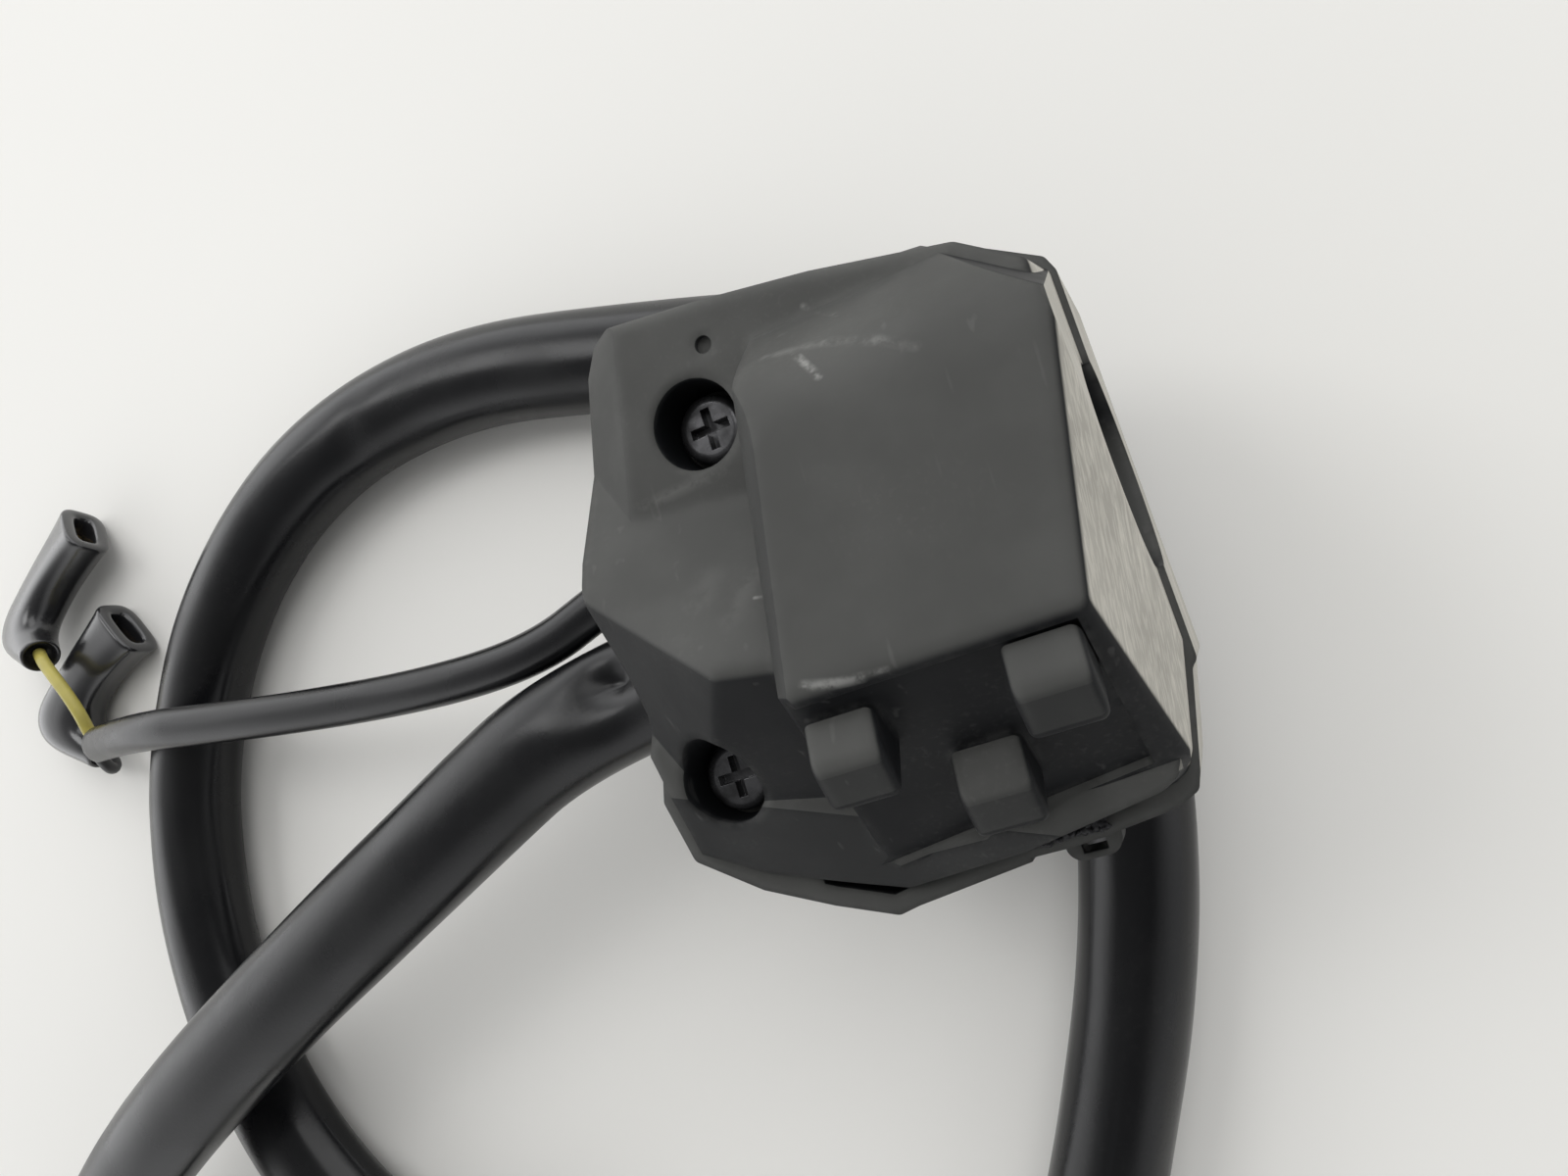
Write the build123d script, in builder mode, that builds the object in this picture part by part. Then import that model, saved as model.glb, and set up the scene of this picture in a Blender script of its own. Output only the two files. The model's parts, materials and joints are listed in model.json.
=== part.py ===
"""Handlebar switch cluster: a two-half casing, its three rider-side controls and its loom.

Frame: origin on the handlebar's axis, midway along the casing. +X runs along the bar
towards the grip, +Y is up on the bike, +Z points forward, away from the rider. The casing
splits at z = 0, and the loom lies on a surface below the rider-side face.
"""

import math
import os

from build123d import *

os.makedirs("parts", exist_ok=True)

# Driving sizes of the casing
casing_length = 60.0
casing_height = 70.0
front_depth = 25.0
rear_depth = 27.0
wall = 2.2
bar_radius = 11.1
bar_clearance = 0.1
pin_gap = 0.05

# Handlebar bore
bore_radius = bar_radius + bar_clearance
grip_end = casing_length / 2

# Front casing
wall_draft = 7.0
pad_height = 9.4
low_pad_height = 7.6
cover_height = 24.0
ridge_y = -12.8
ridge_round = 1.8
shoulder_round = 16.0
block_round = 1.3
slope_foot_y = -33.2
slope_foot_z = 4.2
recess_depth = 1.0
recess_foot = 0.3
recess_round = 1.8
boss_width = 7.2
boss_reach = 4.2
boss_rise = 1.6
boss_face = 4.9
boss_fall = 2.7
boss_root = 7.0
boss_crest_round = 2.4
boss_foot_round = 0.9
boss_side_round = 0.9

# Rear casing
snout_wall = 2.2
lug_width = 6.2
lug_reach = 2.6
lug_height = 4.6
lug_slot = 1.2
lug_slot_length = 2.8
lug_round = 1.8
notch_width = 10.0
notch_depth = 1.4
notch_height = 2.2

# Casing screws
head_radius = 4.0
head_height = 2.8
shank_radius = 2.1
shank_length = 15.0
counterbore_radius = 5.1
counterbore_flare = 0.5
cross_width = 1.1
cross_length = 4.8
cross_depth = 1.6
screw_boss_radius = 4.7

# Loom and clutch switch lead
loom_diameter = 16.5
lead_diameter = 6.5
loom_axis_z = -21.2
loom_exit_y = -3.0
lead_exit_y = 12.0
lead_exit_z = -20.3
hole_gap = 0.15
table_z = -50.0
wire_diameter = 2.4

# Where the controls sit on the rider-side face
control_x = grip_end - 0.385 * casing_length
beam_y = 0.286 * casing_height
turn_y = 0.014 * casing_height
horn_y = -0.290 * casing_height

# Outlines, as shares of the casing's length back from the grip end and of its height
front_outline_shares = [
    (0.000, 0.314),
    (0.117, 0.389),
    (0.375, 0.443),
    (0.592, 0.477),
    (0.780, 0.500),
    (0.842, 0.487),
    (0.888, 0.443),
    (0.942, 0.286),
    (0.968, 0.129),
    (0.970, 0.050),
    (0.948, -0.064),
    (0.948, -0.129),
    (0.985, -0.200),
    (1.003, -0.281),
    (0.983, -0.369),
    (0.853, -0.436),
    (0.687, -0.486),
    (0.588, -0.514),
    (0.355, -0.503),
    (0.105, -0.469),
    (0.062, -0.452),
    (0.045, -0.425),
    (0.012, -0.303),
    (0.000, -0.271),
]
rear_outline_shares = [
    (-0.012, 0.310),
    (0.000, 0.336),
    (0.117, 0.400),
    (0.375, 0.454),
    (0.592, 0.488),
    (0.785, 0.513),
    (0.858, 0.497),
    (0.912, 0.440),
    (0.963, 0.286),
    (0.983, 0.143),
    (0.990, 0.064),
    (0.977, -0.071),
    (1.000, -0.171),
    (1.037, -0.277),
    (1.007, -0.386),
    (0.883, -0.461),
    (0.750, -0.514),
    (0.633, -0.553),
    (0.592, -0.546),
    (0.345, -0.521),
    (0.230, -0.513),
    (0.100, -0.500),
    (0.057, -0.483),
    (0.045, -0.457),
    (0.000, -0.312),
    (-0.012, -0.303),
]
block_outline_shares = [
    (0.000, 0.314),
    (0.117, 0.389),
    (0.375, 0.443),
    (0.500, 0.456),
    (0.572, -0.140),
    (0.602, -0.470),
    (0.588, -0.514),
    (0.355, -0.503),
    (0.085, -0.462),
    (0.045, -0.425),
    (0.000, -0.271),
]


def along(share):
    """The x of a share of the casing's length, counted back from the grip end."""
    return grip_end - share * casing_length


def outline(shares):
    """Points of an outline from its shares of length and height."""
    return [(along(x), y * casing_height) for x, y in shares]


def through(a, b, c):
    """The plane through three points, with its normal upwards."""
    a, b, c = Vector(*a), Vector(*b), Vector(*c)
    normal = (b - a).cross(c - a)
    if normal.Z < 0:
        normal = normal * -1
    return Plane(origin=a, z_dir=normal)


def spot(x_share, y_share, z):
    """A point on the casing from its shares of length and height."""
    return (along(x_share), y_share * casing_height, z)


def bend_radii(points, share=0.45):
    """Radius of each bend of a route, from the shorter run beside it and half its turn."""
    points = [Vector(*p) for p in points]
    radii = []
    for before, here, after in zip(points, points[1:], points[2:]):
        half_turn = math.radians((here - before).get_angle(after - here)) / 2
        run = min((here - before).length, (after - here).length)
        radii.append(share * run / math.tan(half_turn))
    return radii


# Front casing: three pads and roofs, each with its own slopes, joined and then hollowed
edge_round = 1.8
corner_round = 2.0
steep_share = 0.8
cover_share = 0.45
roof_round = 1.6
end_round = 1.4
shoulder_y = 17.0
shoulder_z = 20.6
shoulder_foot_y = 29.3
shoulder_foot_z = 4.2
lip = 1.3
pocket_far_share = 0.75
pocket_near_share = 0.105
pocket_foot_share = 0.098
pocket_foot_tilt_share = 0.193
counterbore_draft = 4.0
screw_clearance = 0.2
dimple_radius = 1.0
dimple_depth = 0.8
dimple_shares = (0.600, 0.386, pad_height)
seat_low = 1.2
seat_high = 2.7
front_cavity_from = 0.0
front_cavity_length = 20.0
front_cavity_profile_shares = [
    (-0.429, 0.00),
    (-0.429, 0.14),
    (-0.180, 0.86),
    (0.236, 0.70),
    (0.314, 0.32),
    (0.314, 0.00),
]
pad_bevel_shares = [(0.765, 0.454, 0.376), (0.813, 0.277, 0.376), (0.925, 0.340, 0.160)]
bar_roof_shares = [(0.867, 0.169, 0.38), (0.595, 0.137, 0.38), (0.928, 0.064, 0.60)]
far_roof_shares = [(0.925, -0.187, 0.32), (0.925, 0.059, 0.60), (0.785, -0.187, 0.60)]
low_roof_shares = [(0.678, -0.117, 0.892), (0.575, -0.136, 0.892), (0.733, -0.329, 0.28)]
low_bevel_shares = [(0.747, -0.333, 0.30), (0.617, -0.499, 0.08), (0.853, -0.436, 0.06)]
far_bevel_shares = [(1.003, -0.281, 0.02), (0.983, -0.369, 0.02), (0.947, -0.279, 0.30)]
end_slope_shares = [(0.087, -0.193, 1.00), (0.018, 0.103, 0.88), (0.000, -0.143, 0.38)]
crown_shares = [(0.563, -0.134, 0.904), (0.808, -0.021, 0.740), (0.820, -0.247, 0.460)]
end_edge_shares = [(0.048, -0.029, 0.936), (0.065, -0.296, 0.680)]
panel_bevel_shares = [(0.483, 0.257, 0.820), (0.553, -0.183, 1.000), (0.500, 0.257, 0.780)]
slope_bevel_shares = [(0.553, -0.183, 0.985), (0.583, -0.474, 0.153), (0.570, -0.183, 0.935)]
brow_shares = [(0.000, 0.314, 0.00), (0.117, 0.389, 0.00), (0.102, 0.289, 0.72)]
foot_shares = [(0.592, -0.473, 0.172), (0.098, -0.416, 0.336), (0.105, -0.469, 0.00)]
boss_start_shares = [(0.502, -0.220), (0.323, -0.316), (0.167, -0.200)]
upper_screw_shares = (0.662, 0.274)
lower_screw_shares = (0.833, -0.267)


def cut_plane(shares):
    """The plane of a roof from three points given as shares of length, height and depth."""
    return through(*[spot(x, y, z * front_depth) for x, y, z in shares])


def nearest(candidates, shares):
    """The edge nearest to each spot given as shares of length, height and depth."""
    spots = [spot(x, y, z * front_depth) for x, y, z in shares]
    return ShapeList([candidates.sort_by_distance(place)[0] for place in spots])


def is_corner(edge):
    """True for the edges that run up a wall's corners."""
    return abs(edge.tangent_at(0.5).Z) > steep_share


slope_fall = (front_depth - slope_foot_z) / (ridge_y - slope_foot_y)
slope_stretch = math.hypot(1, slope_fall)

with BuildPart() as upper_pad:
    with BuildSketch(Plane.XY):
        Polygon(*outline(front_outline_shares), align=None)
    extrude(amount=pad_height, taper=wall_draft)
    fillet(edges().filter_by(is_corner), corner_round)
    fillet(faces().sort_by(Axis.Z)[-1].edges(), edge_round)
    split(bisect_by=cut_plane(pad_bevel_shares), keep=Keep.BOTTOM)
    split(bisect_by=Plane.XZ, keep=Keep.BOTTOM)

with BuildPart() as low_pad:
    with BuildSketch(Plane.XY):
        Polygon(*outline(front_outline_shares), align=None)
    extrude(amount=low_pad_height, taper=wall_draft)
    fillet(edges().filter_by(is_corner), corner_round)
    split(bisect_by=cut_plane(low_bevel_shares), keep=Keep.BOTTOM)
    split(bisect_by=cut_plane(far_bevel_shares), keep=Keep.BOTTOM)
    split(bisect_by=Plane.XZ, keep=Keep.TOP)

with BuildPart() as bar_cover:
    with BuildSketch(Plane.XY):
        Polygon(*outline(front_outline_shares), align=None)
    extrude(amount=cover_height, taper=wall_draft)
    split(bisect_by=cut_plane(bar_roof_shares), keep=Keep.BOTTOM)
    split(bisect_by=cut_plane(far_roof_shares), keep=Keep.BOTTOM)
    split(bisect_by=cut_plane(low_roof_shares), keep=Keep.BOTTOM)
    split(bisect_by=Plane.YZ.offset(along(cover_share)), keep=Keep.BOTTOM)
    fillet(nearest(edges(), crown_shares), roof_round)

with BuildPart() as block:
    with BuildSketch(Plane.XY):
        Polygon(*outline(block_outline_shares), align=None)
        fillet(vertices(), block_round)
    extrude(amount=front_depth)
    with BuildSketch(Plane.YZ):
        Polygon(
            (slope_foot_y - slope_foot_z / slope_fall, 0),
            (ridge_y, front_depth),
            (shoulder_y, shoulder_z),
            (shoulder_foot_y, shoulder_foot_z),
            (casing_height / 2, 0),
            align=None,
        )
        fillet(vertices().sort_by_distance((ridge_y, front_depth))[0], ridge_round)
        fillet(vertices().sort_by_distance((shoulder_y, shoulder_z))[0], shoulder_round)
    extrude(amount=casing_length, both=True, mode=Mode.INTERSECT)
    split(bisect_by=cut_plane(brow_shares), keep=Keep.BOTTOM)
    split(bisect_by=cut_plane(foot_shares), keep=Keep.BOTTOM)
    split(bisect_by=cut_plane(end_slope_shares), keep=Keep.BOTTOM)
    fillet(nearest(edges(), end_edge_shares), end_round)
    split(bisect_by=cut_plane(panel_bevel_shares), keep=Keep.BOTTOM)
    split(bisect_by=cut_plane(slope_bevel_shares), keep=Keep.BOTTOM)

slope_plane = Plane(
    origin=(0, ridge_y, front_depth),
    x_dir=(1, 0, 0),
    z_dir=(0, slope_foot_z - front_depth, ridge_y - slope_foot_y),
)

# Shallow pocket in the slope, open at the far side, whose floor rises softly to the foot
pocket_foot = (ridge_y - foot_shares[1][1] * casing_height) * slope_stretch - recess_foot
pocket_far_foot = pocket_foot + pocket_foot_tilt_share * (along(pocket_foot_share) - along(pocket_far_share))

with BuildPart() as pocket:
    with BuildSketch(slope_plane):
        Polygon(
            (along(pocket_far_share), -lip),
            (along(pocket_near_share), -lip),
            (along(pocket_foot_share), -pocket_foot),
            (along(pocket_far_share), -pocket_far_foot),
            align=None,
        )
    extrude(amount=recess_depth, both=True)
    fillet(faces().sort_by(Axis.Y)[0].edges().sort_by(Axis.Z)[0], recess_round)

# Three moulded bosses standing on the slope, each with its underside square to it
boss_parts = []
for x_share, y_share in boss_start_shares:
    start_y = y_share * casing_height
    start_z = front_depth - slope_fall * (ridge_y - start_y)
    crest = (start_y - boss_reach, start_z + boss_rise)
    tip = (crest[0] - boss_face, crest[1] - boss_fall)
    root = (tip[0] + boss_root * slope_fall / slope_stretch, tip[1] - boss_root / slope_stretch)
    with BuildPart() as boss:
        with BuildSketch(Plane.YZ.offset(along(x_share) - boss_width / 2)):
            Polygon((start_y, start_z), crest, tip, root, (start_y, root[1]), align=None)
            fillet(vertices().sort_by_distance(crest)[0], boss_crest_round)
            fillet(vertices().sort_by_distance(tip)[0], boss_foot_round)
        extrude(amount=boss_width)
        fillet(faces().filter_by(Axis.X).edges(), boss_side_round)
    boss_parts.append(boss.part)

with BuildPart() as front_casing:
    add(upper_pad.part)
    add(low_pad.part)
    add(bar_cover.part)
    add(block.part)
    add(pocket.part, mode=Mode.SUBTRACT)
    for boss_part in boss_parts:
        add(boss_part)
    # Bore, hollow and screw seats
    with BuildSketch(Plane.YZ.offset(-casing_length)):
        Circle(bore_radius)
    extrude(amount=2 * casing_length, mode=Mode.SUBTRACT)
    with BuildSketch(Plane.YZ.offset(front_cavity_from)):
        Polygon(*[(y * casing_height, z * front_depth) for y, z in front_cavity_profile_shares], align=None)
    extrude(amount=front_cavity_length, mode=Mode.SUBTRACT)
    for (x_share, y_share), seat in ((upper_screw_shares, seat_high), (lower_screw_shares, seat_low)):
        with BuildSketch(Plane.XY.offset(seat)):
            with Locations((along(x_share), y_share * casing_height)):
                Circle(counterbore_radius - counterbore_flare)
        extrude(amount=front_depth, taper=-counterbore_draft, mode=Mode.SUBTRACT)
        with BuildSketch(Plane.XY):
            with Locations((along(x_share), y_share * casing_height)):
                Circle(shank_radius + screw_clearance)
        extrude(amount=front_depth, mode=Mode.SUBTRACT)
    with Locations(spot(*dimple_shares)):
        Hole(dimple_radius, depth=dimple_depth)
    with BuildSketch(Plane.XY):
        Rectangle(4 * casing_length, 4 * casing_length)
    extrude(amount=-casing_length, mode=Mode.SUBTRACT)
front_casing.part.label = "front_casing"
export_step(front_casing.part, "parts/front_casing.step")

# Rear casing: a straight-walled tub with a bevelled face, hollow between two bored ribs
belly_angle = 38.0
rear_round = 1.2
hollow_from = along(0.758)
hollow_to = along(0.158)
floor_z = wall - rear_depth
pilot_gap = 0.05
pilot_depth = 15.0
rider_window = 12.2
turn_slot_length = 14.0
turn_slot_width = 6.6
horn_window_radius = 8.2
window_round = 0.6
post_radius = 1.8
ear_offset = 7.4
ear_thickness = 2.0
ear_height = 2.8
ear_length = 5.0
beam_pivot_z = -24.2
beam_pin_radius = 1.0
beam_board_z = -16.2
turn_board_z = -16.2
horn_board_z = -15.2
board_thickness = 2.0
board_screw_radius = 0.9
board_screw_depth = 4.0
strap_post_radius = 3.0
strap_post_top = -20.8
strap_x = along(0.692)
strap_post_y = -15.7
loom_inner_end = along(0.625)
snout_from = along(1.010)
snout_to = along(0.567)
lead_inner_end = along(0.748)
lug_x_share = 0.267
lug_y = -36.2
lug_top = -5.0
notch_x_share = 0.283
beam_post_offsets = [(-10.0, 0.0), (10.0, 0.0)]
turn_post_offsets = [(-6.8, 7.2), (9.2, -7.2)]
horn_post_offsets = [(-11.2, 0.0), (11.2, 0.0)]
belly_outline_shares = [
    (0.067, 0.350),
    (0.375, 0.400),
    (0.600, 0.433),
    (0.800, 0.454),
    (0.875, 0.393),
    (0.908, 0.143),
    (0.908, -0.071),
    (0.958, -0.277),
    (0.933, -0.364),
    (0.833, -0.421),
    (0.617, -0.490),
    (0.345, -0.466),
    (0.125, -0.439),
    (0.067, -0.286),
]
belly_inset = wall * (1 - math.sin(math.radians(belly_angle))) / math.cos(math.radians(belly_angle))
beam_centre = (control_x, beam_y)
turn_centre = (control_x, turn_y)
horn_centre = (control_x, horn_y)


def around(centre, offsets):
    """Plan positions at offsets from a centre."""
    return [(centre[0] + x, centre[1] + y) for x, y in offsets]


post_sets = [
    (around(beam_centre, beam_post_offsets), beam_board_z),
    (around(turn_centre, turn_post_offsets), turn_board_z),
    (around(horn_centre, horn_post_offsets), horn_board_z),
]

with BuildPart() as rear_belly:
    with BuildSketch(Plane.XY.offset(-rear_depth)):
        Polygon(*outline(belly_outline_shares), align=None)
    extrude(amount=rear_depth, taper=-belly_angle)

with BuildPart() as inner_belly:
    with BuildSketch(Plane.XY.offset(floor_z)):
        Polygon(*outline(belly_outline_shares), align=None)
        offset(amount=-belly_inset, kind=Kind.INTERSECTION)
    extrude(amount=rear_depth, taper=-belly_angle)

with BuildPart() as rear_hollow:
    with BuildSketch(Plane.XY.offset(floor_z)):
        Polygon(*outline(rear_outline_shares), align=None)
        offset(amount=-wall, kind=Kind.INTERSECTION)
        with Locations(((hollow_from + hollow_to) / 2, 0)):
            Rectangle(hollow_to - hollow_from, 2 * casing_height, mode=Mode.INTERSECT)
    extrude(amount=-floor_z)
    add(inner_belly.part, mode=Mode.INTERSECT)

with BuildPart() as rear_casing:
    with BuildSketch(Plane.XY):
        Polygon(*outline(rear_outline_shares), align=None)
        fillet(vertices(), rear_round)
    extrude(amount=-rear_depth)
    add(rear_belly.part, mode=Mode.INTERSECT)
    # Half-round snout under the far rib, which carries the loom out
    with BuildSketch(Plane.YZ.offset(snout_from)):
        with Locations((loom_exit_y, loom_axis_z)):
            Circle(loom_diameter / 2 + hole_gap + snout_wall)
        with Locations((loom_exit_y, 0)):
            Rectangle(casing_height, -2 * floor_z, mode=Mode.SUBTRACT)
    extrude(amount=snout_to - snout_from)
    # Slotted lug below the lower wall
    with BuildSketch(Plane.XY.offset(lug_top)):
        with Locations((along(lug_x_share), lug_y)):
            RectangleRounded(lug_width, 2 * lug_reach, lug_round)
        with Locations((along(lug_x_share), lug_y - lug_reach / 2)):
            Rectangle(lug_slot_length, lug_slot, mode=Mode.SUBTRACT)
    extrude(amount=-lug_height)
    add(rear_hollow.part, mode=Mode.SUBTRACT)
    # Posts for the switch bases, the screw column, the strap post and the rocker's ears
    for places, top in post_sets:
        with BuildSketch(Plane.XY.offset(floor_z)):
            with Locations(*places):
                Circle(post_radius)
        extrude(amount=top - floor_z)
        with BuildSketch(Plane.XY.offset(top)):
            with Locations(*places):
                Circle(board_screw_radius + pin_gap)
        extrude(amount=-board_screw_depth, mode=Mode.SUBTRACT)
    with BuildSketch(Plane.XY.offset(floor_z)):
        with Locations((along(upper_screw_shares[0]), upper_screw_shares[1] * casing_height)):
            Circle(screw_boss_radius)
    extrude(amount=-floor_z)
    with BuildSketch(Plane.XY.offset(floor_z)):
        with Locations((strap_x, strap_post_y)):
            Circle(strap_post_radius)
    extrude(amount=strap_post_top - floor_z)
    with BuildSketch(Plane.XY.offset(floor_z)):
        with Locations(*around(beam_centre, [(-ear_offset, 0), (ear_offset, 0)])):
            Rectangle(ear_thickness, ear_length)
    extrude(amount=ear_height)
    # Bore, holes for the screws, the cords and the pin, and the three windows
    with BuildSketch(Plane.YZ.offset(-casing_length)):
        Circle(bore_radius)
    extrude(amount=2 * casing_length, mode=Mode.SUBTRACT)
    for x_share, y_share in (upper_screw_shares, lower_screw_shares):
        with BuildSketch(Plane.XY):
            with Locations((along(x_share), y_share * casing_height)):
                Circle(shank_radius + pilot_gap)
        extrude(amount=-pilot_depth, mode=Mode.SUBTRACT)
    with BuildSketch(Plane.XY.offset(strap_post_top)):
        with Locations((strap_x, strap_post_y)):
            Circle(board_screw_radius + pin_gap)
    extrude(amount=floor_z - strap_post_top, mode=Mode.SUBTRACT)
    with BuildSketch(Plane.YZ.offset(loom_inner_end)):
        with Locations((loom_exit_y, loom_axis_z)):
            Circle(loom_diameter / 2 + hole_gap)
    extrude(amount=-casing_length, mode=Mode.SUBTRACT)
    with BuildSketch(Plane.YZ.offset(hollow_from)):
        with Locations((lead_exit_y, lead_exit_z)):
            Circle(lead_diameter / 2 + hole_gap)
    extrude(amount=-casing_length, mode=Mode.SUBTRACT)
    with BuildSketch(Plane.YZ.offset(control_x - ear_offset - ear_thickness)):
        with Locations((beam_y, beam_pivot_z)):
            Circle(beam_pin_radius + pin_gap)
    extrude(amount=2 * (ear_offset + ear_thickness), mode=Mode.SUBTRACT)
    with BuildSketch(Plane.XY.offset(floor_z)):
        with Locations(beam_centre):
            RectangleRounded(rider_window, rider_window, window_round)
        with Locations(turn_centre):
            RectangleRounded(turn_slot_length, turn_slot_width, window_round)
        with Locations(horn_centre):
            Circle(horn_window_radius)
    extrude(amount=-casing_length, mode=Mode.SUBTRACT)
    # Notch torn out of the lower rim
    with BuildSketch(Plane.XY):
        with Locations((along(notch_x_share), lug_y - notch_depth)):
            Rectangle(notch_width, 2 * notch_depth)
    extrude(amount=-notch_height, mode=Mode.SUBTRACT)
rear_casing.part.label = "rear_casing"
export_step(rear_casing.part, "parts/rear_casing.step")

# Casing screws: cross-recess pan heads sunk in the front casing
with BuildPart() as casing_screws:
    for (x_share, y_share), seat in ((upper_screw_shares, seat_high), (lower_screw_shares, seat_low)):
        place = (along(x_share), y_share * casing_height)
        with BuildSketch(Plane.XY.offset(seat)):
            with Locations(place):
                Circle(head_radius)
        head = extrude(amount=head_height)
        fillet(head.faces().sort_by(Axis.Z)[-1].edges(), cross_width)
        with BuildSketch(Plane.XY.offset(seat + head_height)):
            with Locations(place):
                Rectangle(cross_length, cross_width)
                Rectangle(cross_width, cross_length)
        extrude(amount=-cross_depth, mode=Mode.SUBTRACT)
        with BuildSketch(Plane.XY.offset(seat)):
            with Locations(place):
                Circle(shank_radius)
        extrude(amount=-shank_length)
casing_screws.part.label = "casing_screws"
export_step(casing_screws.part, "parts/casing_screws.step")

# Beam switch: a two-way rocker on a pin, whose tail works between two contact prongs
rocker_half_width = 5.8
rocker_half_reach = 5.6
rocker_tip_z = -30.2
rocker_saddle_z = -28.6
rocker_root_z = -25.6
rocker_hub_radius = 2.4
rocker_tail_thickness = 2.4
rocker_tail_top = -17.2
rocker_tail_width = 4.0
rocker_rest_tilt = -8.0
rocker_round = 0.8
beam_board_length = 23.2
beam_board_width = 12.0
prong_thickness = 0.4
prong_gap = 3.2
prong_height = 3.4
prong_width = 4.0
prong_plate = 0.5
pin_length = 2 * (ear_offset + ear_thickness / 2)

with BuildPart() as beam_rocker:
    with BuildSketch(Plane.YZ.offset(control_x - rocker_half_width)):
        Polygon(
            (beam_y - rocker_half_reach, rocker_root_z),
            (beam_y - rocker_half_reach, rocker_tip_z),
            (beam_y, rocker_saddle_z),
            (beam_y + rocker_half_reach, rocker_tip_z),
            (beam_y + rocker_half_reach, rocker_root_z),
            align=None,
        )
        fillet(vertices().sort_by(Axis.Z)[0:2], rocker_round)
        with Locations((beam_y, beam_pivot_z)):
            Circle(rocker_hub_radius)
    extrude(amount=2 * rocker_half_width)
    with BuildSketch(Plane.XY.offset(beam_pivot_z)):
        with Locations(beam_centre):
            Rectangle(rocker_tail_width, rocker_tail_thickness)
    extrude(amount=rocker_tail_top - beam_pivot_z)
    with BuildSketch(Plane.YZ.offset(control_x - rocker_half_width)):
        with Locations((beam_y, beam_pivot_z)):
            Circle(beam_pin_radius + pin_gap)
    extrude(amount=2 * rocker_half_width, mode=Mode.SUBTRACT)
beam_pivot = Axis((control_x, beam_y, beam_pivot_z), (1, 0, 0))
beam_rocker_rest = beam_rocker.part.rotate(beam_pivot, rocker_rest_tilt)
beam_rocker_rest.label = "beam_rocker"
export_step(beam_rocker_rest, "parts/beam_rocker.step")

with BuildPart() as beam_rocker_pin:
    with BuildSketch(Plane.YZ.offset(control_x - pin_length / 2)):
        with Locations((beam_y, beam_pivot_z)):
            Circle(beam_pin_radius)
    extrude(amount=pin_length)
beam_rocker_pin.part.label = "beam_rocker_pin"
export_step(beam_rocker_pin.part, "parts/beam_rocker_pin.step")

with BuildPart() as beam_switch_base:
    with BuildSketch(Plane.XY.offset(beam_board_z)):
        with Locations(beam_centre):
            Rectangle(beam_board_length, beam_board_width)
            with Locations(*beam_post_offsets):
                Circle(board_screw_radius + pin_gap, mode=Mode.SUBTRACT)
    extrude(amount=board_thickness)
beam_switch_base.part.label = "beam_switch_base"
export_step(beam_switch_base.part, "parts/beam_switch_base.step")

with BuildPart() as beam_contact_prongs:
    with BuildSketch(Plane.XY.offset(beam_board_z)):
        with Locations(beam_centre):
            Rectangle(prong_width, 2 * (prong_gap + prong_thickness))
    extrude(amount=-prong_plate)
    with BuildSketch(Plane.XY.offset(beam_board_z)):
        with Locations(beam_centre):
            with Locations((0, prong_gap + prong_thickness / 2), (0, -prong_gap - prong_thickness / 2)):
                Rectangle(prong_width, prong_thickness)
    extrude(amount=-prong_height)
beam_contact_prongs.part.label = "beam_contact_prongs"
export_step(beam_contact_prongs.part, "parts/beam_contact_prongs.step")

# Turn switch: a carriage sliding across the face, with a push-to-cancel knob through it
carriage_length = 18.0
carriage_width = 10.0
carriage_thickness = 2.2
carriage_gap = 0.1
carriage_neck_length = 6.4
carriage_neck_width = 6.0
carriage_neck_end = -27.2
carriage_boss_radius = 3.6
carriage_boss_top = -21.5
carriage_arm_radius = 1.5
carriage_arm_offset = 5.5
carriage_arm_top = -17.2
bridge_length = 4.0
bridge_width = 3.0
bridge_thickness = 0.9
knob_length = 10.0
knob_width = 8.5
knob_face_z = -33.0
knob_rim_z = -28.8
knob_round = 2.0
knob_edge_round = 0.8
knob_recess_radius = 3.4
knob_recess_z = -31.6
stem_radius = 2.0
stem_top = -19.4
clip_radius = 3.2
clip_thickness = 0.6
clip_groove = 0.3
cancel_coil_radius = 2.7
cancel_wire_radius = 0.28
cancel_turns = 3.0
turn_board_length = 21.0
turn_board_width = 19.0
turn_board_shift = 1.0

with BuildPart() as turn_carriage:
    with BuildSketch(Plane.XY.offset(floor_z + carriage_gap)):
        with Locations(turn_centre):
            Rectangle(carriage_length, carriage_width)
    extrude(amount=carriage_thickness)
    with BuildSketch(Plane.XY.offset(floor_z + carriage_gap)):
        with Locations(turn_centre):
            Rectangle(carriage_neck_length, carriage_neck_width)
    extrude(amount=carriage_neck_end - floor_z - carriage_gap)
    with BuildSketch(Plane.XY.offset(floor_z + carriage_gap)):
        with Locations(turn_centre):
            Circle(carriage_boss_radius)
    extrude(amount=carriage_boss_top - floor_z - carriage_gap)
    with BuildSketch(Plane.XY.offset(floor_z + carriage_gap)):
        with Locations(turn_centre):
            with Locations((-carriage_arm_offset, 0), (carriage_arm_offset, 0)):
                Circle(carriage_arm_radius)
    extrude(amount=carriage_arm_top - floor_z - carriage_gap)
    with BuildSketch(Plane.XY.offset(carriage_neck_end)):
        with Locations(turn_centre):
            Circle(stem_radius + pin_gap)
    extrude(amount=carriage_boss_top - carriage_neck_end, mode=Mode.SUBTRACT)
turn_carriage.part.label = "turn_carriage"
export_step(turn_carriage.part, "parts/turn_carriage.step")

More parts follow.
